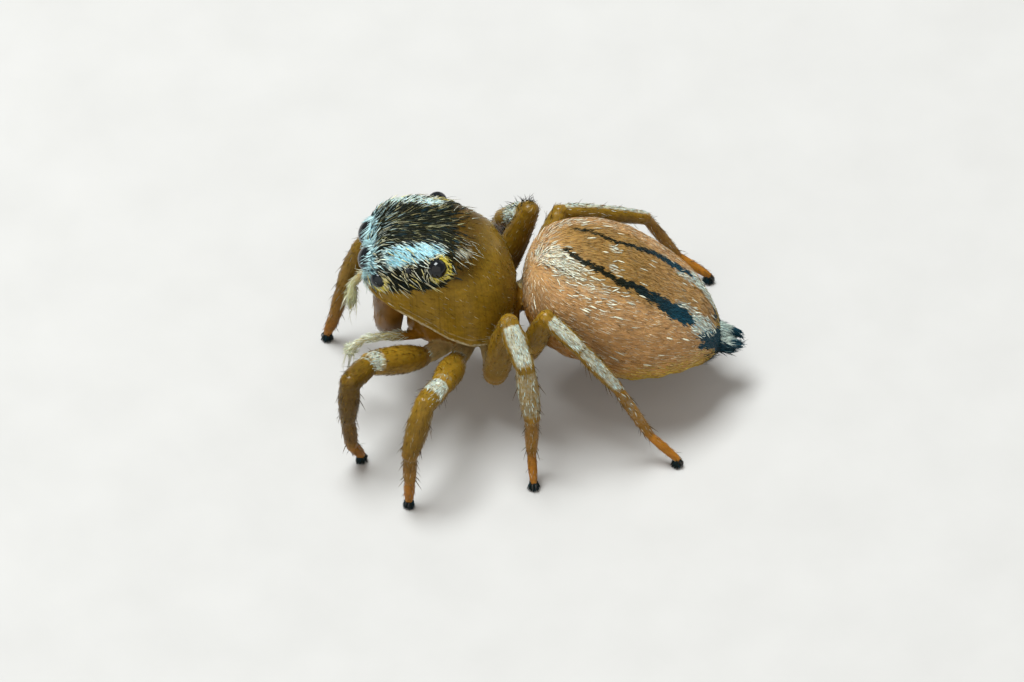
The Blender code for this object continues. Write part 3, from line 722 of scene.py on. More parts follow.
def blue_band(at):
    """Band of sky blue scales from the face to the rear eye."""
    half = table(at.y, BAND_HALF)
    offset = np.abs(slant(at) - table(at.y, BAND_MIDDLE))
    return ease(offset, half + 0.09, half - 0.08) * ease(at.y, -1.96, -1.68) * ease(at.y, -0.92, -1.08)


def face_column(at):
    """Pale scales round the two big front eyes."""
    return ease(at.y, -1.88, -1.96) * ease(at.z, 2.16, 2.24) * at.on(CARAPACE_PART)


def line_marks(at):
    """The two ragged dark lines along the back."""
    value = np.zeros(len(at.y))
    wobble = 0.014 * np.sin(43.0 * at.y) + 0.010 * np.sin(91.0 * at.y + 1.0)
    for place, width in ((LEFT_LINE, LEFT_HALF), (RIGHT_LINE, RIGHT_HALF)):
        offset = np.abs((at.round - np.radians(table(at.y, place))) * at.girth + wobble)
        half = table(at.y, width)
        value = np.maximum(value, ease(offset, half + 0.016, half - 0.016) * ease(half, 0.002, 0.016))
    return value * at.on(ABDOMEN_PART)


def beside_back(at, degrees):
    """How far a point lies from the given angle off the middle of the back, on either side."""
    turn = np.abs(at.round - np.radians(table(at.y, BACK_MIDDLE)))
    return np.abs(turn - math.radians(degrees))


def pale_head(at):
    """Pale scales of the band, the face, the area behind the eyes, the rim and the cheeks."""
    above = at.z - at.margin
    behind = bump_at(at.y, -0.74, 0.22) * bump_at(slant(at), 2.33, 0.24) * np.where(at.x > 0.0, 0.45, 0.15)
    rim = 0.50 * bump_at(above, 0.035, 0.035) + 0.34 * bump_at(above, 0.125, 0.030)
    rim = rim * ease(at.y, -1.75, -1.55) * ease(at.y, -0.2, -0.4)
    cheek = bump_at(above, 0.08, 0.14) * ease(at.y, -1.62, -1.86) * ease(at.side, 0.52, 0.42) * 0.6
    return np.maximum.reduce([blue_band(at), face_column(at), behind, rim, cheek])


def pale_abdomen(at):
    """Pale scales of the front patch, the trail behind it and the spots of the rear."""
    turn = np.degrees(at.round) - table(at.y, BACK_MIDDLE)
    aside = np.abs(turn)
    inner = np.where(turn > 0.0, table(at.y, FRONT_INNER_LEFT), table(at.y, FRONT_INNER_RIGHT))
    outer = table(at.y, FRONT_OUTER)
    level = table(at.y, FRONT_LEVEL)
    front = ease(aside, inner - 3.0, inner + 5.0) * ease(aside, outer + 8.0, outer - 8.0)
    front = front * ease(at.y, 1.12, 0.6) * ease(slant(at), level - 0.12, level + 0.12)
    front = front * np.where(turn > 0.0, 1.0, 0.35)
    trail = 0.36 * ease(turn, inner - 3.0, inner + 5.0) * ease(at.y, 1.60, 1.00) * ease(at.y, 0.25, 0.50)
    trail = trail * ease(slant(at), level - 0.50, level - 0.05)
    cream = ease(np.abs(at.y - 2.43), 0.19, 0.10) * ease(beside_back(at, 33.0), 0.30, 0.16)
    spot = ease(np.abs(at.y - 2.19), 0.17, 0.06) * ease(beside_back(at, 19.0), 0.11, 0.05) * 0.7
    blotch = bump_at(at.y, 1.25, 0.11) * ease(beside_back(at, 9.0), 0.10, 0.03) * 0.85
    return np.maximum.reduce([front, trail, cream, spot, blotch]) * (1.0 - line_marks(at))


def pale_marks(at):
    """White, cream and light blue scale cover, and painted highlights at the roots of the first two legs."""
    value = at.pick({CARAPACE_PART: pale_head(at), ABDOMEN_PART: pale_abdomen(at)}, 0.0)
    for number, name in enumerate(LIMBS):
        mine = (at.part == LIMB_PART) & (at.limb == number)
        for part, start, stop, strength, edge in LEG_PATCHES_AND_HIGHLIGHTS[name]:
            place = ease(at.along, start, start + 0.18) * ease(at.along, stop, stop - 0.22)
            patch = strength * place * ease(at.upper, edge - 0.05, edge + 0.42)
            value = np.where(mine & (at.segment == part), np.maximum(value, patch), value)
    return np.clip(value, 0.0, 1.0)


def dark_marks(at):
    """Black and deep teal cover: eye field, lines of the back, patches at the spinnerets."""
    wave = 0.05 * np.sin(31.0 * slant(at)) + 0.03 * np.sin(67.0 * at.y)
    side = ease(np.abs(at.y - 2.59) + wave, 0.26, 0.10) * ease(np.abs(slant(at) - 0.72), 0.26, 0.12)
    around = ease(at.y, 2.585, 2.64) * ease(slant(at), 1.02, 0.90)
    around = np.maximum(around, bump_at(at.y, 2.62, 0.06) * bump_at(slant(at), 1.16, 0.09))
    back = np.maximum.reduce([line_marks(at), side, around]) * at.on(ABDOMEN_PART)
    return np.maximum(eye_field(at), back)


def from_eye(at, eye):
    """Ways from an eye's centre, with both sides of the head taken together."""
    return np.stack([at.side, at.y, at.z], axis=1) - np.array(eye.centre)


def gold_marks(at):
    """Yellow scales round the rear eyes and behind the front side eyes."""
    value = np.zeros(len(at.y))
    for name, reach, strength in (("eye_rear", 0.090, 1.0), ("eye_front_side", 0.11, 0.9)):
        rel = from_eye(at, EYE[name])
        distance = np.linalg.norm(rel, axis=1) - EYE[name].radius
        where = ease(rel[:, 1] - 0.5 * rel[:, 2], -0.10, 0.05)
        value = np.maximum(value, strength * where * ease(distance, reach, 0.35 * reach))
    return value * at.on(CARAPACE_PART)


def blue_marks(at):
    """How blue the pale and the dark covers are."""
    head = np.maximum(blue_band(at) * np.where(at.x > 0.0, 1.0, 0.4), 0.85 * face_column(at))
    return at.pick({ABDOMEN_PART: table(at.y, LINE_BLUE), CARAPACE_PART: head}, 0.30)


def tan_marks(at):
    """1 on the soft abdomen, 0 on the hard parts."""
    return at.on(ABDOMEN_PART)


def tone_marks(at):
    """How dark the ground colour is."""
    shield = 0.06 + 0.90 * ease(at.y, -0.25, -0.64) * ease(at.z, 2.34, 2.62)
    shield += 0.10 * ease(at.y, -0.45, -0.12) - 0.10 * ease(at.z - at.margin, 0.30, 0.05)
    limb = np.zeros(len(at.y))
    for number, name in enumerate(LEGS):
        limb = np.where(at.limb == number, table(at.run, LEG_TONE.get(name, USUAL_TONE)), limb)
    back = ease(np.abs(at.round - 0.14), 0.66, 0.40) * ease(at.y, 0.30, 0.70)
    back = back * (1.0 - 0.35 * ease(at.y, 1.5, 2.1))
    belly = 0.04 + 0.80 * back + 0.28 * ease(at.z, 1.10, 0.50)
    value = at.pick({ABDOMEN_PART: belly, CARAPACE_PART: shield, TRUNK_PART: 0.25}, limb)
    return np.clip(value, 0.0, 1.0)


def warm_marks(at):
    """How orange the ground colour is."""
    front = ease(at.y, 0.85, 0.30) * ease(np.cos(at.round), 0.45, -0.2)
    low = 0.24 * ease(np.cos(at.round), 0.60, 0.10) + 0.56 * ease(np.cos(at.round), 0.10, -0.60)
    limb = np.where(at.limb < len(LEGS), table(at.run, LEG_WARMTH), 0.6)
    return at.pick({ABDOMEN_PART: np.maximum(front, low), CARAPACE_PART: 0.0, TRUNK_PART: 0.6}, limb)


def green_marks(at):
    """Pale greenish cream of the palps, and at the roots of the legs a little of it as painted light that
    brightens the coxae in the shade of the shield.
    """
    # Painted light: cream on the coxae lifts them out of the shade that the shield casts.
    leg = 0.36 * ease(at.run, 1.15, 0.7)
    knee = np.where(at.limb == LIMBS.index(("palp", "r")), bump_at(at.run, 1.6, 0.9), 0.0)
    palp = (0.60 * ease(at.run, 0.40, 0.75) + 0.40 * ease(at.run, 2.4, 3.1)) * (1.0 - 0.8 * knee)
    return at.on(LIMB_PART) * np.where(at.limb >= len(LEGS), palp, leg)


def plain_shade(at):
    """Middle brightness; each scale and hair has its own."""
    return np.full(len(at.y), 0.5)


MARKS = {"tone": tone_marks, "shade": plain_shade, "warm": warm_marks, "pale": pale_marks,
         "blue": blue_marks, "dark": dark_marks, "gold": gold_marks, "tan": tan_marks,
         "green": green_marks}


def set_marks(mesh, values):
    for name, value in values.items():
        layer = mesh.attributes.new(name, "FLOAT", "POINT")
        layer.data.foreach_set("value", np.asarray(value, np.float32))


# Materials.
OLIVE = (0.222, 0.131, 0.011)
DARK_BROWN = (0.060, 0.031, 0.002)
ORANGE = (0.275, 0.108, 0.009)
TAN = (0.410, 0.235, 0.098)
TAN_BROWN = (0.225, 0.128, 0.030)
TAN_ORANGE = (0.330, 0.145, 0.022)
PALP_CREAM = (0.460, 0.460, 0.240)
BLACK = (0.008, 0.009, 0.003)
TEAL = (0.006, 0.040, 0.060)
CREAM = (0.690, 0.700, 0.560)
SKY_BLUE = (0.330, 0.730, 0.860)
GOLD = (0.660, 0.530, 0.055)
FULLEST_COVER = 0.88


class Nodes:
    """Short ways to place and join shader nodes."""

    def __init__(self, tree):
        self.tree = tree

    def feed(self, socket, value):
        if isinstance(value, bpy.types.NodeSocket):
            self.tree.links.new(value, socket)
        elif isinstance(value, tuple) and len(value) == 3 and socket.type == "RGBA":
            socket.default_value = (*value, 1.0)
        else:
            socket.default_value = value

    def maths(self, operation, a, b=0.0):
        node = self.tree.nodes.new("ShaderNodeMath")
        node.operation = operation
        self.feed(node.inputs[0], a)
        self.feed(node.inputs[1], b)
        return node.outputs[0]

    def times(self, a, b):
        return self.maths("MULTIPLY", a, b)

    def plus(self, a, b):
        return self.maths("ADD", a, b)

    def blend(self, share, a, b):
        """Colour a, turning to colour b as the share grows."""
        node = self.tree.nodes.new("ShaderNodeMix")
        node.data_type = "RGBA"
        self.feed(node.inputs[0], share)
        self.feed(node.inputs[6], a)
        self.feed(node.inputs[7], b)
        return node.outputs[2]

    def vector_maths(self, operation, vector, socket, by):
        node = self.tree.nodes.new("ShaderNodeVectorMath")
        node.operation = operation
        self.feed(node.inputs[0], vector)
        self.feed(node.inputs[socket], by)
        return node.outputs[0]

    def scaled(self, vector, amount):
        return self.vector_maths("SCALE", vector, "Scale", amount)

    def stretched(self, vector, by):
        """Coordinates multiplied axis by axis."""
        return self.vector_maths("MULTIPLY", vector, 1, by)

    def noise(self, scale, detail, vector):
        node = self.tree.nodes.new("ShaderNodeTexNoise")
        node.inputs["Scale"].default_value = scale
        node.inputs["Detail"].default_value = detail
        self.feed(node.inputs["Vector"], vector)
        return node.outputs[0]

    def cells(self, scale, vector):
        node = self.tree.nodes.new("ShaderNodeTexVoronoi")
        node.inputs["Scale"].default_value = scale
        self.feed(node.inputs["Vector"], vector)
        return node.outputs["Distance"]

    def spread(self, value, low, high, to_low=0.0, to_high=1.0):
        node = self.tree.nodes.new("ShaderNodeMapRange")
        for place, number in enumerate((low, high, to_low, to_high), start=1):
            node.inputs[place].default_value = number
        self.feed(node.inputs[0], value)
        return node.outputs[0]

    def mark(self, name):
        """A value kept on the mesh."""
        node = self.tree.nodes.new("ShaderNodeAttribute")
        node.attribute_name = name
        return node.outputs["Fac"]

    def relief(self, shader, height, strength, depth):
        """Fine bumps on a shader, their depth in metres."""
        node = self.tree.nodes.new("ShaderNodeBump")
        node.inputs["Strength"].default_value = strength
        node.inputs["Distance"].default_value = depth
        self.feed(node.inputs["Height"], height)
        self.feed(shader.inputs["Normal"], node.outputs[0])


def make_markings():
    """Node group that turns the marks into colour; skin and coat share it."""
    group = bpy.data.node_groups.new("spider markings", "ShaderNodeTree")
    for name in MARKS:
        group.interface.new_socket(name, in_out="INPUT", socket_type="NodeSocketFloat")
    group.interface.new_socket("Vector", in_out="INPUT", socket_type="NodeSocketVector")
    group.interface.new_socket("Colour", in_out="OUTPUT", socket_type="NodeSocketColor")
    group.interface.new_socket("Cover", in_out="OUTPUT", socket_type="NodeSocketFloat")
    n = Nodes(group)
    inside = group.nodes.new("NodeGroupInput")
    outside = group.nodes.new("NodeGroupOutput")
    mark = {name: inside.outputs[name] for name in MARKS}
    where = inside.outputs["Vector"]
    cloud = n.spread(n.noise(4200.0, 4.0, where), 0.35, 0.65)
    grain = n.spread(n.noise(26000.0, 3.0, where), 0.30, 0.70)
    hard = n.blend(mark["warm"], OLIVE, ORANGE)
    hard = n.blend(mark["tone"], hard, DARK_BROWN)
    soft = n.blend(mark["tone"], TAN, TAN_BROWN)
    soft = n.blend(mark["warm"], soft, TAN_ORANGE)
    ground = n.blend(mark["tan"], hard, soft)
    ground = n.blend(mark["green"], ground, PALP_CREAM)
    shade = n.plus(n.times(cloud, 0.26), n.times(grain, 0.20))
    ground = n.scaled(ground, n.maths("SUBTRACT", 1.22, shade))
    ragged = n.times(n.maths("SUBTRACT", grain, 0.5), 0.7)

    def cover(name, low, high):
        """A mark with a ragged edge."""
        return n.spread(n.plus(mark[name], n.times(ragged, mark[name])), low, high)

    dark = cover("dark", 0.30, 0.62)
    pale = cover("pale", 0.15, 0.85)
    gold = cover("gold", 0.25, 0.70)
    deep = n.blend(mark["blue"], BLACK, TEAL)
    light = n.blend(n.times(mark["blue"], n.spread(cloud, 0.0, 1.0, 0.75, 1.0)), CREAM, SKY_BLUE)
    colour = n.blend(dark, ground, deep)
    colour = n.blend(n.times(pale, FULLEST_COVER), colour, light)
    colour = n.blend(n.times(gold, FULLEST_COVER), colour, GOLD)
    colour = n.scaled(colour, n.spread(mark["shade"], 0.0, 1.0, 0.55, 1.45))
    n.feed(outside.inputs["Colour"], colour)
    n.feed(outside.inputs["Cover"], n.maths("MAXIMUM", pale, dark))
    return group


def surface(name):
    """A new material with one Principled shader, and the coordinates for its patterns."""
    material = bpy.data.materials.new(name)
    material.use_nodes = True
    tree = material.node_tree
    tree.nodes.clear()
    shader = tree.nodes.new("ShaderNodeBsdfPrincipled")
    end = tree.nodes.new("ShaderNodeOutputMaterial")
    tree.links.new(shader.outputs[0], end.inputs["Surface"])
    where = tree.nodes.new("ShaderNodeTexCoord").outputs["Object"]
    return material, Nodes(tree), shader, where


markings = make_markings()


def marked_colour(n, where):
    """The shared markings, fed with the marks kept on the mesh."""
    group = n.tree.nodes.new("ShaderNodeGroup")
    group.node_tree = markings
    for name in MARKS:
        n.feed(group.inputs[name], n.mark(name))
    n.feed(group.inputs["Vector"], where)
    return group.outputs["Colour"], group.outputs["Cover"]


def cuticle_material():
    """Glossy, slightly see-through skin, finely netted and streaked."""
    material, n, shader, where = surface("cuticle")
    colour, cover = marked_colour(n, where)
    streak = n.noise(30000.0, 3.0, n.stretched(where, (1.0, 0.16, 0.6)))
    lines = n.spread(n.noise(1.0, 3.0, n.mark("rays")), 0.52, 0.68)
    lines = n.times(lines, n.times(n.mark("shield"), n.spread(cover, 0.1, 0.5, 0.24, 0.0)))
    shade = n.maths("SUBTRACT", n.spread(streak, 0.3, 0.7, 0.86, 1.14), lines)
    n.feed(shader.inputs["Base Color"], n.scaled(colour, shade))
    rough = n.spread(n.noise(9000.0, 3.0, where), 0.3, 0.7, 0.24, 0.38)
    rough = n.plus(rough, n.times(n.plus(cover, n.mark("tan")), 0.14))
    n.feed(shader.inputs["Roughness"], rough)
    height = n.plus(n.times(n.cells(34000.0, where), 0.5), n.noise(60000.0, 3.0, where))
    height = n.plus(height, n.times(streak, n.mark("tan")))
    n.relief(shader, height, 0.4, 6e-6)
    shader.inputs["Subsurface Weight"].default_value = 0.35
    shader.inputs["Subsurface Radius"].default_value = (1.0, 0.55, 0.22)
    shader.inputs["Subsurface Scale"].default_value = 0.00014
    shader.inputs["Specular IOR Level"].default_value = 0.09
    dull = n.plus(n.mark("shield"), n.mark("tan"))
    n.feed(shader.inputs["Coat Weight"], n.spread(dull, 0.0, 1.0, 0.17, 0.04))
    shader.inputs["Coat Roughness"].default_value = 0.16
    return material


def coat_material():
    """Thin scales and hairs with a silky gloss."""
    material, n, shader, where = surface("scales and hairs")
    colour, _ = marked_colour(n, where)
    n.feed(shader.inputs["Base Color"], colour)
    n.feed(shader.inputs["Roughness"], n.spread(n.noise(30000.0, 2.0, where), 0.3, 0.7, 0.32, 0.50))
    shader.inputs["Specular IOR Level"].default_value = 0.12
    return material


def glossy_material(name, dark, light, scale, roughness, gloss):
    """Smooth hard shell with faint clouds of a second colour."""
    material, n, shader, where = surface(name)
    cloud = n.spread(n.noise(scale, 3.0, where), 0.35, 0.68)
    n.feed(shader.inputs["Base Color"], n.blend(cloud, dark, light))
    n.feed(shader.inputs["Roughness"], n.spread(cloud, 0.0, 1.0, roughness, roughness * 1.35))
    n.relief(shader, n.noise(scale * 5.0, 2.0, where), 0.15, 3e-6)
    shader.inputs["Coat Weight"].default_value = gloss
    shader.inputs["Coat Roughness"].default_value = 0.12
    return material


def eye_material():
    """Black lens with a faint deep blue and green in it."""
    material, n, shader, where = surface("eye lens")
    cloud = n.spread(n.noise(3500.0, 2.0, where), 0.4, 0.6)
    n.feed(shader.inputs["Base Color"], n.blend(cloud, (0.0015, 0.002, 0.003), (0.002, 0.006, 0.009)))
    n.feed(shader.inputs["Roughness"], n.spread(n.noise(14000.0, 2.0, where), 0.3, 0.7, 0.03, 0.06))
    shader.inputs["Specular IOR Level"].default_value = 0.40
    return material


cuticle = cuticle_material()
coat = coat_material()
lens = eye_material()
jaw_shell = glossy_material("jaw shell", (0.105, 0.046, 0.004), (0.200, 0.090, 0.010), 4200.0, 0.28, 0.1)
fang_shell = glossy_material("fang", (0.060, 0.014, 0.004), (0.110, 0.030, 0.008), 9000.0, 0.14, 0.4)
spinneret_teal = glossy_material("spinneret", (0.008, 0.022, 0.028), (0.020, 0.085, 0.105), 7000.0, 0.30, 0.2)


# Points and directions of a surface, to plant scales and hairs on.
Roots = namedtuple("Roots", "point normal at")


class Ground:
    """A surface cut into small faces, with their areas, directions and places on the body."""

    def __init__(self, points, faces):
        self.points = points
        self.quads = np.array([tuple(f)[:4] if len(f) > 3 else (*f, f[2]) for f in faces])
        corner = points[self.quads]
        normal = np.cross(corner[:, 2] - corner[:, 0], corner[:, 3] - corner[:, 1])
        self.area = 0.5 * np.linalg.norm(normal, axis=1)
        self.normals = np.zeros_like(points)
        for k in range(4):
            np.add.at(self.normals, self.quads[:, k], normal)
        self.normals = unit(self.normals)

    def place(self, at=None):
        self.at = (at or Places(self.points)).take(self.quads[:, 0])

    def plant(self, density, weight=1.0):
        """Roots strewn evenly: so many to each square millimetre where the weight is 1."""
        total = np.cumsum(self.area * density * np.clip(weight, 0.0, 1.0) * np.ones(len(self.area)))
        count = int(total[-1])
        places = (np.arange(count) + rng.random(count)) * (total[-1] / max(count, 1))
        face = np.searchsorted(total, places).clip(0, len(total) - 1)
        a, b = rng.random((2, count, 1))
        quad = self.points[self.quads[face]]
        point = ((1 - a) * (1 - b) * quad[:, 0] + a * (1 - b) * quad[:, 1]
                 + a * b * quad[:, 2] + (1 - a) * b * quad[:, 3])
        normal = unit(self.normals[self.quads[face]].mean(axis=1))
        return Roots(point, normal, self.at.take(face))


# Fine streaks of the shield run outwards from one point on its top.
RAYS_CENTRE_Y = -0.80
RAYS_ROUND = 52.0

# Build the skin piece. It lies inside the solid body by the depth of the coat.
skin_faces = [tuple(f.vertices) for f in skin_mesh.polygons]
skin = Ground(skin_points, skin_faces)
at_skin = Places(skin_points)


def fine_shape(at):
    """How far the skin stands out or in, in millimetres, for its small forms."""
    groove = bump_at(at.x, 0.0, 0.035) * bump_at(at.y, -0.80, 0.13) * ease(at.z, 2.3, 2.6)
    dip = bump_at(at.side, 0.0, 0.30) * bump_at(at.y, -0.74, 0.30) * ease(at.z, 2.3, 2.6)
    above = at.z - at.margin
    bead = bump_at(above, 0.030, 0.035) * ease(at.y, -0.15, -0.3) * (at.z < 2.1)
    shield = -0.020 * groove - 0.016 * dip + 0.014 * bead - 0.006 * bump_at(above, 0.10, 0.03)
    under = ease(np.cos(at.round), -0.5, -0.85)
    furrow = -0.030 * under * bump_at(at.y, 0.78, 0.05) + 0.014 * under * bump_at(at.y, 0.55, 0.22)
    folds = 0.006 * np.sin(at.y * 21.0 + 2.0 * np.sin(at.round * 3.0)) * ease(np.cos(at.round), 0.2, -0.5)
    joint = np.minimum(np.abs(at.along), np.abs(1.0 - at.along)) * (at.segment > 0)
    ring = -0.006 * (at.segment > 0) * bump_at(joint, 0.0, 0.05)
    return at.pick({CARAPACE_PART: shield, ABDOMEN_PART: furrow + folds, LIMB_PART: ring}, 0.0)


skin_points = skin_points + skin.normals * (fine_shape(at_skin) - COAT_DEPTH)[:, None]
skin = Ground(skin_points, skin_faces)
skin.place(at_skin)
skin_mesh.vertices.foreach_set("co", to_metres(skin_points).astype(np.float32).ravel())
skin_marks = {name: mark(at_skin) for name, mark in MARKS.items()}
# The skin below the coat keeps only a share of the pale marks. This is partly the skin's own colour under the
# scales and partly painted shade in the gaps between the strands: strongest under the face column and off the
# shield, slight on the rest of the shield.
pale_share_with_gap_shade = np.where(at_skin.part == CARAPACE_PART, 0.95 - 0.60 * face_column(at_skin), 0.60)
skin_marks["pale"] = pale_share_with_gap_shade * skin_marks["pale"]
skin_marks["shield"] = at_skin.on(CARAPACE_PART)
set_marks(skin_mesh, skin_marks)
turn = np.arctan2(at_skin.y - RAYS_CENTRE_Y, at_skin.x + 1e-9)
rays = np.stack([RAYS_ROUND * turn, 2.2 * at_skin.z, 1.2 * at_skin.y], axis=1)
layer = skin_mesh.attributes.new("rays", "FLOAT_VECTOR", "POINT")
layer.data.foreach_set("vector", rays.astype(np.float32).ravel())
skin_mesh.update()
FLESH_NODES = ["cephalothorax", "abdomen", "pedicel", "sternum", "mouthparts"]
FLESH_NODES += [f"leg_{pair}_{side}" for side in SIDES for pair in LEG_KINDS]
FLESH_NODES += [f"palp_{side}" for side in SIDES]
piece("skin", skin_mesh, cuticle, FLESH_NODES)


def from_own_eye(roots, eye):
    """Ways to the roots from the eye on their own side of the head."""
    x, y, z = eye.centre
    sign = np.sign(roots.at.x)
    return roots.point - np.stack([sign * x, np.full(len(sign), y), np.full(len(sign), z)], axis=1)


def lie_of(roots):
    """The way the coat lies: back over the body and round the eyes, outwards along the limbs."""
    at = roots.at
    sign = np.sign(at.x)
    low = ease(slant(at), 2.42, 2.02)
    down = np.where(at.part == CARAPACE_PART, 0.05 + 0.45 * low, 0.30)
    spread = 0.45 * ease(at.y, 1.1, 0.3) * np.clip(at.side / 0.3, 0.0, 1.0)
    fan = np.where(at.part == CARAPACE_PART, 1.8 * at.side * (1.0 - low), 0.03 + spread)
    lie = np.stack([sign * fan, np.ones(len(sign)), -down], axis=1)
    for eye in EYES:
        rel = from_own_eye(roots, eye)
        away = unit(rel)
        share = np.clip((eye.radius / np.linalg.norm(rel, axis=1)) ** 2, 0.0, 1.0)[:, None]
        lie = lie * (1.0 + share) - 2.0 * share * away * dot(lie, away)[:, None]
    front = EYE["eye_front_middle"].centre
    star = np.stack([at.x - sign * front[0], 0.4 * np.ones(len(sign)), at.z - front[2]], axis=1)
    facing = ease(-roots.normal[:, 1], 0.35, 0.8)[:, None]
    lie = unit(lie) * (1.0 - facing) + unit(star) * facing
    lie = np.where((at.part == LIMB_PART)[:, None], at.axis, lie)
    return unit(flattened(lie, roots.normal))


def hanging(forward):
    """A lie for hairs that hang down and a little forwards."""
    way = np.array((0.0, forward, -1.0))
    return lambda roots: flattened(np.tile(way, (len(roots.point), 1)), roots.normal)


# A strand is a thin closed horn. Its shape is given by rings between a sunk root and a
# point: (place along it, width). Hairs are three-sided, scales flat and widest in the middle.
Strand = namedtuple("Strand", "sides flat rings")
HAIR = Strand(3, 1.0, ((0.0, 1.0), (0.35, 0.80), (0.72, 0.45)))
SCALE = Strand(4, 0.35, ((0.12, 0.55), (0.45, 1.0), (0.78, 0.70)))
SUNK = -0.06
LOWEST_HAIR = 0.002
MOST_TRIANGLES = 190000
Batch = namedtuple("Batch", "points faces values layout patch")

# How much single strands differ from their form.
LIFT_SPREAD = 0.25
LENGTH_SPREAD = 0.2
WIDTH_SPREAD = 0.15

# Each strand has a small patch of its own in one cell of the flat layout.
CELLS = 330
CELL_TRIES = 13
PATCH = 0.0014

# The flat layout runs along the abdomen, the head or a limb, and round it.
ABDOMEN_SPAN = 2.9
HEAD_START = -2.3
HEAD_SPAN = 2.5
LIMB_SPAN = 6.05
BODY_MIDDLE = 1.5
LAYOUT_EDGE = 0.004


def body_layout(at):
    """Each root's place on a flat layout of its own part of the skin."""
    u = np.where(at.part == ABDOMEN_PART, at.y / ABDOMEN_SPAN, (at.y - HEAD_START) / HEAD_SPAN)
    v = np.arctan2(at.x, at.z - BODY_MIDDLE) / (2 * math.pi) + 0.5
    turn = np.arctan2(at.flank, at.upper) / (2 * math.pi) + 0.5
    limb = at.part == LIMB_PART
    u = np.where(limb, at.run / LIMB_SPAN, u)
    return np.clip(np.stack([u, np.where(limb, turn, v)], axis=1), LAYOUT_EDGE, 1.0 - LAYOUT_EDGE)


def own_cells(layout):
    """The grid cells nearest to the wanted places, one for each strand."""
    wanted = np.floor(layout * CELLS).astype(int)
    cell = wanted.clip(1, CELLS - 2)
    for reach in range(1, CELL_TRIES + 1):
        _, first = np.unique(cell[:, 0] * CELLS + cell[:, 1], return_index=True)
        shared = np.ones(len(cell), bool)
        shared[first] = False
        shift = rng.integers(-reach, reach + 1, (int(shared.sum()), 2))
        cell[shared] = (wanted[shared] + shift).clip(1, CELLS - 2)
    return (cell + 0.5) / CELLS


def strands(roots, length, width, lift, shape, droop, stray, lie=None, bare=False,
            spread_of_shade=0.22, curl=0.0, **marks):
    """Many strands, each on its root. A bare one takes no marks from the skin below it."""
    count = len(roots.point)
    normal = roots.normal
    lie = lie_of(roots) if lie is None else unit(lie)
    side = unit(np.cross(normal, lie))
    lie = unit(lie + side * (stray * rng.standard_normal((count, 1))))
    side = unit(np.cross(normal, lie))
    lift = np.clip(lift * (1.0 + LIFT_SPREAD * rng.standard_normal(count)), 0.02, 1.5)[:, None]
    long = (length * np.clip(1.0 + LENGTH_SPREAD * rng.standard_normal(count), 0.5, 1.5))[:, None]
    forward = lie * np.cos(lift) + normal * np.sin(lift)
    upward = unit(flattened(normal, forward))
    thick = width * np.clip(1.0 + WIDTH_SPREAD * rng.standard_normal(count), 0.6, 1.4)[:, None]
    bend = side * (curl * rng.standard_normal((count, 1))) - normal * droop

    def spine(s):
        return roots.point + long * (forward * s + bend * (s * s))

    points = [spine(SUNK)]
    place, swing = [SUNK], [0.0]
    for s, wide in shape.rings:
        for k in range(shape.sides):
            angle = 2 * math.pi * k / shape.sides
            out = math.cos(angle) * side + math.sin(angle) * shape.flat * upward
            points.append(spine(s) + thick * wide * out)
            place.append(s)
            swing.append(math.cos(angle))
    points.append(spine(1.0))
    points = np.stack(points, axis=1)
    per = points.shape[1]
    rings = [1 + shape.sides * r for r in range(len(shape.rings))]
    faces = []
    for k in range(shape.sides):
        after = (k + 1) % shape.sides
        faces.append((0, rings[0] + after, rings[0] + k))
        faces.append((rings[-1] + k, rings[-1] + after, per - 1))
        for a, b in zip(rings, rings[1:]):
            faces += [(a + k, a + after, b + after), (a + k, b + after, b + k)]
    patch = PATCH * np.stack([swing + [0.0], 2.0 * np.array(place + [1.0]) - 1.0], axis=1)
    values = {name: np.zeros(count) if bare else mark(roots.at) for name, mark in MARKS.items()}
    values["shade"] = np.clip(0.5 + spread_of_shade * rng.standard_normal(count), 0.0, 1.0)
    values.update({name: value * np.ones(count) for name, value in marks.items()})
    return Batch(points, np.array(faces), values, body_layout(roots.at), patch)


def strand_mesh(name, points, faces, patches):
    """A mesh of triangles above the floor, with its flat layout."""
    points[:, 2] = np.maximum(points[:, 2], LOWEST_HAIR)
    mesh = bpy.data.meshes.new(name)
    mesh.vertices.add(len(points))
    mesh.vertices.foreach_set("co", to_metres(points).astype(np.float32).ravel())
    mesh.loops.add(faces.size)
    mesh.loops.foreach_set("vertex_index", faces.astype(np.int32).ravel())
    mesh.polygons.add(len(faces))
    mesh.polygons.foreach_set("loop_start", np.arange(0, faces.size, 3, dtype=np.int32))
    mesh.update(calc_edges=True)
    flat_map = mesh.uv_layers.new(name="OFBake")
    flat_map.data.foreach_set("uv", patches[faces.ravel()].astype(np.float32).ravel())
    return mesh


def mix(choices, shares):
    """A look: random picks among a few values, one for each root."""
    chances = np.array(shares) / sum(shares)
    return lambda roots: rng.choice(choices, size=len(roots.point), p=chances)


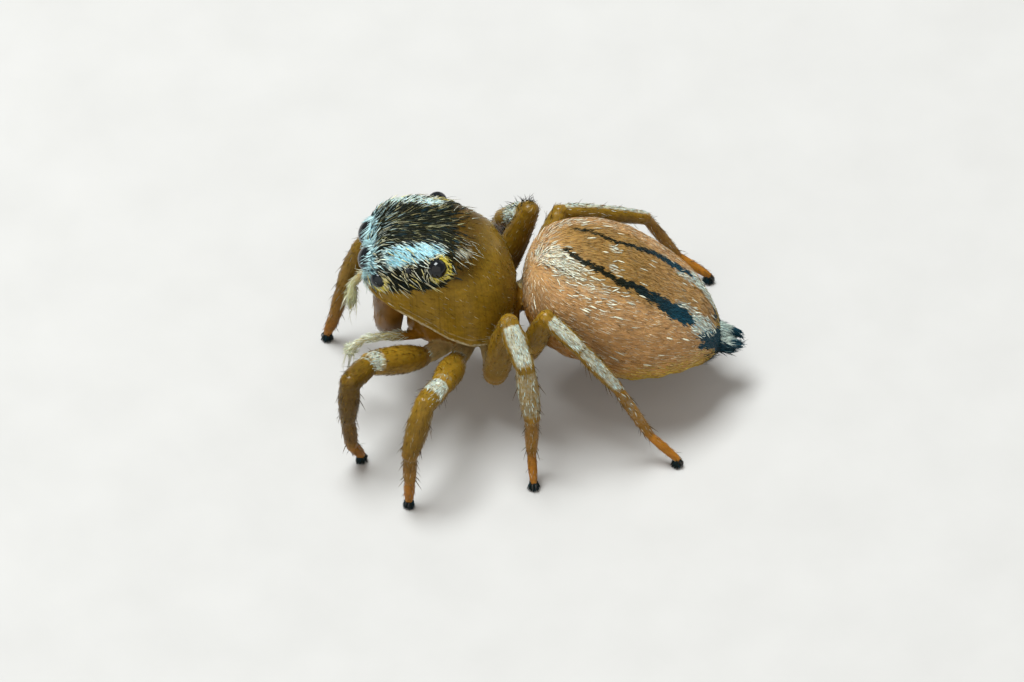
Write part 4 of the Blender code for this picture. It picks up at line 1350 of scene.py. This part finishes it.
class Coat:
    """Strands gathered for one piece. A look is a number or a function of the roots."""

    def __init__(self, ground=None):
        self.ground = ground
        self.batches = []

    def add(self, roots, *form, **looks):
        """Strands of one form, which is their length, width, lift, shape, droop and stray."""
        looks = {key: look(roots) if callable(look) else look for key, look in looks.items()}
        self.batches.append(strands(roots, *form, **looks))

    def grow(self, density, weight, *form, **looks):
        """The same on new roots: so many to a square millimetre where the weight is 1."""
        self.add(self.ground.plant(density, weight), *form, **looks)

    def show(self, name):
        """Join the strands in meshes that each stay under the limit of triangles."""
        batches = [batch for batch in self.batches if len(batch.points)]
        counts = [len(batch.points) for batch in batches]
        layout = own_cells(np.concatenate([batch.layout for batch in batches]))
        triangles = np.repeat([len(batch.faces) for batch in batches], counts)
        share = (np.cumsum(triangles) - 1) // MOST_TRIANGLES
        first = np.cumsum([0] + counts)
        for part in range(share[-1] + 1):
            points, faces, patches, start = [], [], [], 0
            values = {key: [] for key in MARKS}
            for i, batch in enumerate(batches):
                mine = np.flatnonzero(share[first[i]:first[i + 1]] == part)
                per = batch.points.shape[1]
                offsets = start + np.arange(len(mine)) * per
                points.append(batch.points[mine].reshape(-1, 3))
                faces.append((batch.faces[None] + offsets[:, None, None]).reshape(-1, 3))
                patches.append((layout[first[i] + mine][:, None, :] + batch.patch[None]).reshape(-1, 2))
                for key in MARKS:
                    values[key].append(np.repeat(batch.values[key][mine], per))
                start += len(mine) * per
            ending = f"_{part + 1}" if share[-1] else ""
            mesh = strand_mesh(name, np.vstack(points), np.vstack(faces), np.vstack(patches))
            set_marks(mesh, {key: np.concatenate(values[key]) for key in MARKS})
            piece(name + ending, mesh, coat)


def clear_of_eyes(at, room=0.008):
    """0 inside the eyes, 1 outside."""
    keep = np.ones(len(at.y), bool)
    for eye in EYES:
        keep &= np.linalg.norm(from_eye(at, eye), axis=1) > eye.radius + room
    return keep


# Coat of the head.
at = skin.at
shield = at.on(CARAPACE_PART)
open_skin = clear_of_eyes(at)
field = eye_field(at) * open_skin
pale = pale_marks(at)
lower = ease(slant(at), 2.45, 2.15)
thin = field * (1.0 - lower) * (1.0 - 0.8 * pale)
between = field * bump_at(at.y, -1.84, 0.26) * ease(slant(at), 1.95, 2.1)
cover = np.maximum(blue_band(at) * np.where(at.x > 0.0, 1.0, 0.7), 0.55 * face_column(at))


def band_blue(roots):
    return blue_marks(roots.at) * mix((0.55, 0.85, 1.0), (1, 2, 3))(roots)


head = Coat(skin)
head.grow(620.0, field * (1.0 - 0.85 * pale), 0.105, 0.0075, 0.16, SCALE, 0.10, 0.12,
          dark=1.0, pale=0.0, gold=0.0, blue=mix((0.0, 0.15, 0.5), (3, 2, 1)))
head.grow(260.0, shield * face_column(at) * open_skin, 0.110, 0.0070, 0.30, HAIR, 0.10, 0.14,
          dark=1.0, pale=0.0, gold=0.0, blue=0.2, curl=0.15)
head.grow(150.0, thin, 0.165, 0.0064, 0.20, HAIR, 0.12, 0.16, pale=0.0, gold=0.0, tone=0.9, curl=0.20,
          dark=mix((0.34, 0.50, 0.62), (2, 3, 3)), green=mix((0.5, 0.8, 1.0), (2, 2, 1)),
          blue=mix((0.0, 0.5), (2, 1)))
head.grow(36.0, thin, 0.170, 0.0062, 0.24, HAIR, 0.14, 0.16, dark=0.0, gold=0.35, tone=0.9, blue=0.1,
          curl=0.22, pale=mix((0.30, 0.45, 0.65), (2, 2, 1)))
head.grow(125.0, field * lower * (1.0 - 0.6 * pale), 0.200, 0.0070, 0.22, HAIR, 0.14, 0.12,
          dark=0.0, pale=mix((0.5, 0.8, 1.0), (2, 3, 3)), gold=mix((0.15, 0.40, 0.55), (2, 3, 1)),
          blue=mix((0.0, 0.25), (3, 1)), curl=0.16)
head.grow(330.0, between, 0.125, 0.0062, 0.28, HAIR, 0.12, 0.16, dark=0.0, gold=0.0, pale=1.0,
          blue=mix((0.15, 0.6), (1, 1)))
head.grow(1150.0, shield * cover ** 1.3 * open_skin, 0.095, 0.0085, 0.13, SCALE, 0.10, 0.15,
          dark=0.0, gold=0.0, spread_of_shade=0.14, pale=1.0, blue=band_blue)
head.show("head_scales")

# Collars of the eyes and short hairs of the cheeks and the bare part of the head.
Collar = namedtuple("Collar", "name density reach length lift looks")
COLLARS = (
    Collar("eye_front_middle", 2000.0, 0.085, 0.155, 0.40, dict(pale=0.9, gold=0.0, blue=0.7)),
    Collar("eye_front_side", 1100.0, 0.055, 0.095, 0.45, dict(pale=1.0, gold=0.45, blue=0.0)),
    Collar("eye_small", 1300.0, 0.035, 0.080, 0.45, dict(pale=0.8, gold=0.35, blue=0.0)),
    Collar("eye_rear", 1300.0, 0.065, 0.090, 0.38, dict(pale=0.9, gold=0.75, blue=0.0)),
)
EYE_OVERLAP = 0.004
collars = Coat(skin)
for collar in COLLARS:
    eye = EYE[collar.name]
    rel = from_eye(at, eye)
    gap = np.linalg.norm(rel, axis=1) - eye.radius
    near = shield * (gap > -EYE_OVERLAP) * ease(gap, collar.reach, 0.4 * collar.reach)
    near = near * clear_of_eyes(at, -EYE_OVERLAP)
    if collar.name == "eye_rear":
        near = near * (0.55 + 0.45 * ease(rel[:, 1] - 0.5 * rel[:, 2], -0.12, 0.02))
    if collar.name == "eye_front_side":
        near = near * ease(rel[:, 1], -0.04, 0.05)
    roots = skin.plant(collar.density, near)
    away = flattened(from_own_eye(roots, eye), roots.normal)
    lie = 0.35 * unit(away) + 0.7 * lie_of(roots)
    if collar.name == "eye_front_middle":
        lie = flattened(0.25 * unit(away) + np.array((0.0, -1.0, 0.0)), roots.normal)
    looks = dict(collar.looks)
    if collar.name == "eye_rear":
        looks["gold"] = 0.30 + 0.45 * ease(away[:, 1] - 0.5 * away[:, 2], -0.10, 0.02)
    collars.add(roots, collar.length, 0.0056, collar.lift, HAIR, 0.10, 0.15, lie=lie, dark=0.0, **looks)
collars.show("eye_collars")

low_face = shield * ease(at.y, -1.70, -1.90) * ease(at.z, 2.26, 2.16) * ease(at.side, 0.52, 0.40)
fuzz = shield * bump_at(at.y, -0.72, 0.28) * bump_at(slant(at), 2.34, 0.34)
cheeks = shield * bump_at(at.z - at.margin, 0.06, 0.10) * ease(at.y, -1.5, -1.75)
top = shield * ease(at.z, 2.55, 2.7)
face = Coat(skin)
face.grow(500.0, low_face, 0.12, 0.0060, 0.35, HAIR, 0.10, 0.20, lie=hanging(-0.25),
          dark=0.0, pale=0.9, gold=0.0, blue=0.35)
face.grow(110.0, shield * (1.0 - field), 0.075, 0.0034, 0.26, HAIR, 0.15, 0.25,
          tone=mix((0.1, 0.7), (1, 1)), pale=mix((0.0, 0.35), (3, 2)), blue=0.0)
face.grow(260.0, fuzz * np.where(at.x > 0.0, 1.0, 0.35), 0.15, 0.0040, 0.38, HAIR, 0.15, 0.30,
          dark=0.0, pale=0.75, gold=0.0, blue=0.15)
face.grow(50.0, cheeks, 0.10, 0.0042, 0.30, HAIR, 0.10, 0.25, dark=0.0, pale=0.8, gold=0.0, blue=0.0)
face.grow(26.0, top * bump_at(at.y, -0.78, 0.30) * ease(at.side, 0.1, 0.5),
          0.21, 0.0042, 0.75, HAIR, 0.35, 0.25, bare=True, tone=1.0, dark=1.0)
face.grow(9.0, top * ease(at.y, -0.9, -1.3) * ease(at.y, -2.0, -1.9),
          0.115, 0.0038, 0.65, HAIR, 0.25, 0.30, bare=True, tone=1.0, dark=1.0)
face.show("head_hairs")

# Coat of the abdomen.
sack = at.on(ABDOMEN_PART)
dark = dark_marks(at)


def low_rear(roots):
    return ease(roots.at.z, 1.6, 1.0) * ease(roots.at.y, 0.7, 1.6)


def down_tone(roots):
    return 0.9 * tone_marks(roots.at) + mix((0.0, 0.2), (1, 1))(roots)


def down_pale(roots):
    """Mixed pale hairs, fewer of them where the skin is dark or orange."""
    pale = mix((0.05, 0.28, 0.62), (5, 3, 2))(roots) + 0.10 * low_rear(roots)
    pale = pale * (1.0 - 0.55 * ease(tone_marks(roots.at), 0.3, 0.7))
    return pale * (1.0 - 0.55 * warm_marks(roots.at))


back = Coat(skin)
back.grow(760.0, sack * (1.0 - dark) ** 2, 0.085, 0.0040, 0.15, HAIR, 0.10, 0.12, dark=0.0, blue=0.0,
          tone=down_tone, gold=lambda roots: 0.46 * low_rear(roots), pale=down_pale)
back.show("abdomen_hairs")
upper = bump_at(np.abs(at.round), 0.80, 0.5) * bump_at(at.y, 0.90, 0.7)
marked = Coat(skin)
marked.grow(1300.0, sack * dark, 0.075, 0.0075, 0.14, SCALE, 0.10, 0.16, dark=1.0, pale=0.0)
marked.grow(620.0, sack * pale, 0.10, 0.0070, 0.24, SCALE, 0.12, 0.24, dark=0.0, tan=1.0, curl=0.15,
            pale=mix((0.6, 0.85, 1.0), (1, 2, 2)), gold=mix((0.0, 0.25), (3, 1)),
            blue=lambda roots: 0.12 + 0.20 * ease(roots.at.y, 2.1, 2.4))
marked.grow(130.0, sack * pale * ease(at.y, 0.95, 0.5), 0.095, 0.0050, 0.30, HAIR, 0.10, 0.20,
            bare=True, tone=1.0, dark=mix((0.5, 0.95), (1, 1)))
marked.grow(8.0, sack * ease(at.z, 1.0, 1.3) * (1.0 - dark), 0.130, 0.0105, 0.12, SCALE, 0.05, 0.08,
            bare=True, pale=1.0)
marked.grow(80.0, sack * upper, 0.050, 0.0052, 0.25, HAIR, 0.1, 0.3, bare=True, tan=1.0, tone=1.0,
            dark=mix((0.0, 0.45), (1, 1)))
marked.grow(7.0, sack, 0.060, 0.0036, 0.50, HAIR, 0.2, 0.3, bare=True, tone=1.0, dark=0.6)
marked.grow(420.0, sack * ease(at.y, 2.35, 2.55) * ease(np.cos(at.round), 0.3, -0.3),
            0.12, 0.0036, 0.45, HAIR, 0.1, 0.2, bare=True, tone=1.0, dark=0.9, blue=0.2)
marked.show("abdomen_scales")

# Spines of the legs: segment, place along it, angle from its top in degrees, length.
Spine = namedtuple("Spine", "part along angle length")
SPINES = [Spine(FEMUR, a, t, 0.20) for a, t in ((0.40, 0), (0.62, 18), (0.82, -20), (0.86, 30))]
SPINES += [Spine(PATELLA, 0.62, t, 0.12) for t in (70, -70)]
SPINES += [Spine(TIBIA, a, t, 0.18) for a in (0.35, 0.85) for t in (125, -125, 70, -70)]
SPINES += [Spine(METATARSUS, a, t, 0.15) for a in (0.25, 0.85) for t in (120, -120, 65, -65)]


def spine_roots(limb_number):
    """Roots, ways and lengths of the spines of one leg."""
    points, normals, ways, lengths = [], [], [], []
    for s in segments:
        if s.limb != limb_number:
            continue
        axis = unit(s.end - s.start)
        top = top_of(axis, s.name[1])
        aside = np.cross(axis, top)
        for spine in SPINES:
            if spine.part == s.part:
                angle = math.radians(spine.angle)
                out = math.cos(angle) * top + math.sin(angle) * aside
                radius = radius_at(spine.along, s.radii) - COAT_DEPTH
                points.append(s.start + spine.along * (s.end - s.start) + out * radius)
                normals.append(out)
                ways.append(axis)
                lengths.append(spine.length)
    points = np.array(points)
    return Roots(points, np.array(normals), Places(points)), np.array(ways), np.array(lengths)


def palp_coat(mine, side):
    """Short down, a cream fringe on top, a thick brush at the end and long white tips."""
    hairs = Coat(skin)
    hairs.grow(260.0, mine, 0.060, 0.0032, 0.22, HAIR, 0.15, 0.22, pale=mix((0.3, 0.6), (1, 1)), blue=0.1)
    hairs.grow(1000.0, mine * ease(at.upper, -0.1, 0.5) * ease(at.run, 3.4, 3.1),
               0.100, 0.0054, 0.48, HAIR, 0.14, 0.25, pale=0.9 if side == "l" else 0.45, blue=0.10, green=0.6)
    hairs.grow(560.0, mine * ease(at.run, 2.7, 3.2), 0.105, 0.0048, 0.58, HAIR, 0.14, 0.30,
               pale=mix((0.0, 0.4), (1, 1)), green=1.0)
    hairs.grow(30.0, mine * ease(at.run, 1.6, 2.6), 0.20, 0.0050, 0.42, HAIR, 0.30, 0.30,
               bare=True, pale=0.95, green=1.0)
    hairs.grow(260.0, mine * bump_at(at.run, 3.55, 0.40), 0.30, 0.0062, 0.16, HAIR, 0.05, 0.12,
               lie=lambda roots: np.tile((0.0, -0.12, -1.0), (len(roots.point), 1)),
               bare=True, pale=1.0, curl=0.10)
    hairs.show(f"palp_hairs_{side}")


def leg_coat(number, kind, mine, side):
    """Down, pale scales, upright hairs, a dark brush on the third right leg, and spines."""
    hairs = Coat(skin)
    dark_leg = 0.5 if kind == 1 else 0.15
    hairs.grow(250.0, mine, 0.075, 0.0034, 0.30, HAIR, 0.15, 0.20, dark=0.0, blue=0.1,
               pale=mix((0.0, 0.35), (3 + 40 * (kind == 1), 1 + (kind > 2))),
               tone=mix((0.1, 0.9), (1 - dark_leg, dark_leg)))
    # Pale scales on the pale marks; at the roots of the first two legs these are painted highlights.
    hairs.grow(820.0, mine * pale ** 1.6, 0.075, 0.0058, 0.14, SCALE, 0.08, 0.16, dark=0.0,
               pale=lambda roots: 0.35 + 0.65 * rng.random(len(roots.point)),
               blue=mix((0.15, 0.50), (1, 1)))
    hairs.grow(26.0, mine * ease(at.run, 1.5, 2.0), 0.12, 0.0034, 0.85, HAIR, 0.20, 0.30, bare=True,
               tone=1.0, dark=mix((0.0, 0.8), (1, 1)), pale=mix((0.0, 0.5), (3, 1)))
    brush = bump_at(at.run, 1.95, 0.6) * ease(at.upper, 0.1, 0.7) * (kind == 3) * (side == "r")
    hairs.grow(650.0, mine * brush, 0.13, 0.0044, 0.80, HAIR, 0.15, 0.35, bare=True, tone=0.9, dark=0.8)
    roots, ways, lengths = spine_roots(number)
    hairs.add(roots, lengths, 0.0056, 0.50, HAIR, 0.10, 0.10, lie=ways, bare=True, tone=0.85, dark=0.2)
    hairs.show(f"leg_hairs_{kind}_{side}")


for number, (kind, side) in enumerate(LIMBS):
    mine = at.on(LIMB_PART) * (at.limb == number) * ease(at.run, 0.25, 0.5)
    if kind == "palp":
        palp_coat(mine, side)
    else:
        leg_coat(number, kind, mine, side)


# Eyes.
for side in SIDES:
    for eye in EYES:
        name = f"{eye.name}_{side}"
        shape = ball(mirrored(eye.centre, side), (eye.radius,) * 3, 64)
        solid_piece(f"{name}_lens", shape, lens, [name])


# Jaws and fangs, with hairs on the jaws.
jaw_hairs = Coat()
for side in SIDES:
    rings = []
    angle = np.linspace(0.0, 2 * math.pi, 48, endpoint=False)
    for z, y, half_width, half_depth in smooth_rows(CHELICERA, JAW_RINGS):
        x = sign_of(side) * CHELICERA_X + half_width * np.cos(angle)
        front = 1.0 + CHELICERA_BULGE * np.sin(angle) * math.sin(9.0 * z)
        rings.append(np.stack([x, y + half_depth * np.sin(angle) * front, np.full(48, z)], axis=1))
    shape = loft(rings)
    solid_piece(f"jaw_{side}", shape, jaw_shell, [f"chelicera_{side}"])
    jaw_hairs.ground = Ground(*shape)
    jaw_hairs.ground.place()
    facing = -jaw_hairs.ground.normals[jaw_hairs.ground.quads[:, 0], 1]
    tips = ease(jaw_hairs.ground.at.z, 1.22, 1.12)
    for density, length, weight in ((150.0, 0.085, ease(facing, 0.0, 0.7)), (500.0, 0.10, tips)):
        jaw_hairs.grow(density, weight, length, 0.0036, 0.35, HAIR, 0.10, 0.20, lie=hanging(-0.1),
                       bare=True, tone=0.4, warm=0.8, pale=mix((0.0, 0.35), (2, 1)))
    steps = np.linspace(0.0, 1.0, 21)
    sag = FANG_SAG * np.sin(math.pi * np.minimum(steps * 1.1, 1.0))
    line = [mirrored(np.array(FANG_BASE) + np.array((-FANG_REACH * t, 0.03 * t, -s)), side)
            for t, s in zip(steps, sag)]
    shape = horn(line, FANG_RADIUS * (1.0 - 0.85 * steps), 20)
    solid_piece(f"fang_{side}_curve", shape, fang_shell, [f"fang_{side}"])
jaw_hairs.show("jaw_hairs")


# Spinnerets, with a painted highlight of pale blue hairs on their top and a dark fringe below.
def cone(part, side):
    """One spinneret, narrower from its middle on and rounded at its end."""
    start = mirrored((part.x, part.y, part.z), side)
    step = mirrored((part.dx, part.dy, part.dz), side)
    root, end = part.root_radius, part.end_radius
    wide = np.interp(CONE_STEPS, (0, 0.45, 0.60, 0.85, 1.0),
                     (root, 0.95 * root, 0.80 * root, 1.05 * end, 0.55 * end))
    return horn([start + t * step for t in CONE_STEPS], wide, 24)


def to_brush_point(roots):
    """Backwards to one point, lying mostly flat on the cones."""
    return flattened(unit(np.array(BRUSH_POINT) - roots.point), roots.normal, 0.8)


shapes = [ball(SPINNERET_BASE, SPINNERET_BASE_SIZE), cone(TUBERCLE, "l")]
shapes += [cone(part, side) for part in SPINNERETS for side in SIDES]
shape = merged(shapes)
solid_piece("spinneret_cones", shape, spinneret_teal, ["spinnerets"])
cones = Ground(*shape)
cones.place()
# Where the cones face up, pale hairs make a painted highlight.
top_line = 0.865 - 0.33 * (cones.at.y - 2.64)
above = ease(cones.at.z - top_line, -0.02, 0.02) * ease(cones.at.y, 2.58, 2.64)
above = above * ease(cones.at.y, 2.80, 2.74)
tail = Coat(cones)
for density, weight, length, lift, looks in (
        (1900.0, 1.0 - 0.8 * above, 0.125, 0.12, dict(dark=1.0, blue=1.0)),
        # Painted highlight: pale hairs on the top of the cones.
        (3000.0, above, 0.105, 0.30, dict(pale=1.0, blue=0.35)),
        (70.0, ease(cones.at.y, 2.66, 2.8), 0.110, 0.14, dict(pale=0.8, blue=0.8)),
        (420.0, ease(cones.at.z, 0.72, 0.62), 0.15, 0.50, dict(dark=1.0, blue=0.2, tone=1.0))):
    tail.grow(density, weight, length, 0.0050, lift, HAIR, 0.10, 0.12, lie=to_brush_point, bare=True, **looks)
tail.show("spinneret_hairs")


# Claw tufts: two small claws in a brush of dark hairs that splay down to the floor.
claw_shell = glossy_material("claw", (0.008, 0.008, 0.008), (0.020, 0.016, 0.012), 9000.0, 0.3, 0.0)
for number, (kind, side) in enumerate(LEGS):
    tip = [s for s in segments if s.limb == number][-1].end
    under = np.array((tip[0], tip[1], 0.0))
    way = heading(side, LEG_POSES[kind, side].yaws[-1], 0.0)
    aside = np.cross(way, (0.0, 0.0, 1.0))
    claws = [ball((tip[0], tip[1], PAD_HEIGHT), PAD_SIZE, 20)]
    for swing in (-CLAW_SPREAD, CLAW_SPREAD):
        path = [under + (0, 0, z) + way * out + aside * swing for z, out in CLAW_CURVE]
        claws.append(horn(path, CLAW_RADII, 12))
    solid_piece(f"claws_{kind}_{side}", merged(claws), claw_shell, [f"foot_{kind}_{side}"])
    angle = rng.random(TUFT_HAIRS) * 2 * math.pi
    inward = np.sqrt(rng.random(TUFT_HAIRS))[:, None]
    round_about = np.stack([np.cos(angle), np.sin(angle), np.zeros(TUFT_HAIRS)], axis=1)
    start = under + TUFT_ROOT * inward * round_about
    start[:, 2] = TUFT_LOW + TUFT_RISE * rng.random(TUFT_HAIRS)
    goal = under + FOOT_RADIUS * (0.25 + 0.75 * inward) * round_about
    goal[:, 2] = np.clip(start[:, 2] - 0.05 - 0.06 * rng.random(TUFT_HAIRS), 0.004, 1.0)
    way = unit(goal - start)
    normal = unit(np.cross(way, np.cross((0.0, 0.0, 1.0), round_about)))
    tuft = Coat()
    tuft.add(Roots(start, normal, Places(start)), np.linalg.norm(goal - start, axis=1), 0.0058, 0.02,
             HAIR, 0.0, 0.05, lie=way, bare=True, dark=1.0, tone=1.0, blue=mix((0.1, 0.8), (2, 1)))
    tuft.show(f"claw_tuft_{kind}_{side}")


# Floor, light and camera.
FLOOR_HALF = 0.6
FLOOR_COLOURS = ((0.41, 0.40, 0.385), (0.46, 0.45, 0.435))
corners = [(x * FLOOR_HALF, y * FLOOR_HALF, 0) for x, y in ((-1, -1), (1, -1), (1, 1), (-1, 1))]
floor_mesh = mesh_of("floor", corners, [(0, 1, 2, 3)])
material, n, shader, where = surface("pale floor")
n.feed(shader.inputs["Base Color"], n.blend(n.noise(900.0, 3.0, where), *FLOOR_COLOURS))
shader.inputs["Roughness"].default_value = 0.7
floor_mesh.materials.append(material)
floor = placed("floor", floor_mesh)

PIXELS_PER_MM = 75.0
IMAGE_WIDTH = 1024
IMAGE_HEIGHT = 682
VIEW_ELEVATION = math.radians(45.0)
LENS = 400.0
SENSOR = 36.0
# Column of the photo that shows y = 0, and row that shows x = z.
STALK_COLUMN = 520.0
DIAGONAL_ROW = 377.0
MIDDLE_HEIGHT = 1.2
centre_y = (IMAGE_WIDTH / 2 - STALK_COLUMN) / PIXELS_PER_MM
rise = (DIAGONAL_ROW - IMAGE_HEIGHT / 2) / (PIXELS_PER_MM * math.sin(VIEW_ELEVATION))
aim = to_metres((MIDDLE_HEIGHT - rise, centre_y, MIDDLE_HEIGHT))
frame_width = IMAGE_WIDTH / PIXELS_PER_MM * MM
distance = frame_width * LENS / SENSOR
back_way = np.array((math.cos(VIEW_ELEVATION), 0.0, math.sin(VIEW_ELEVATION)))
camera_data = bpy.data.cameras.new("camera")
camera_data.lens = LENS
camera_data.sensor_width = SENSOR
camera_data.clip_start = 0.001
camera_data.clip_end = 5.0
camera = placed("camera", camera_data)
camera.location = aim + back_way * distance
camera.rotation_euler = (math.pi / 2 - VIEW_ELEVATION, 0.0, math.pi / 2)
bpy.context.scene.camera = camera


def lamp(name, place, watts, size, colour):
    """Light panel that shines on the spider: place in millimetres, size in metres."""
    data = bpy.data.lights.new(name, "AREA")
    data.energy = watts
    data.shape = "RECTANGLE"
    data.size, data.size_y = size
    data.color = colour
    obj = placed(name, data)
    obj.location = np.array(place) * MM + home
    way = -np.array(place, float)
    yaw = math.atan2(way[1], way[0])
    pitch = math.atan2(way[2], math.hypot(way[0], way[1]))
    obj.rotation_euler = (math.pi / 2 + pitch, 0.0, yaw - math.pi / 2)


# The key light stands above the head and makes the bright spots in the eyes.
lamp("key light", (-20.0, -24.0, 107.0), 0.195, (0.062, 0.048), (0.93, 0.98, 1.0))
lamp("fill light", (110.0, -25.0, 42.0), 0.210, (0.32, 0.28), (1.0, 0.96, 0.90))
lamp("rim light", (-80.0, 60.0, 40.0), 0.010, (0.07, 0.07), (1.0, 0.99, 0.97))
world = bpy.data.worlds.new("studio")
bpy.context.scene.world = world
world.use_nodes = True
background = world.node_tree.nodes["Background"]
background.inputs["Color"].default_value = (1.0, 0.98, 0.95, 1.0)
background.inputs["Strength"].default_value = 0.38
bpy.context.scene.view_settings.view_transform = "Standard"
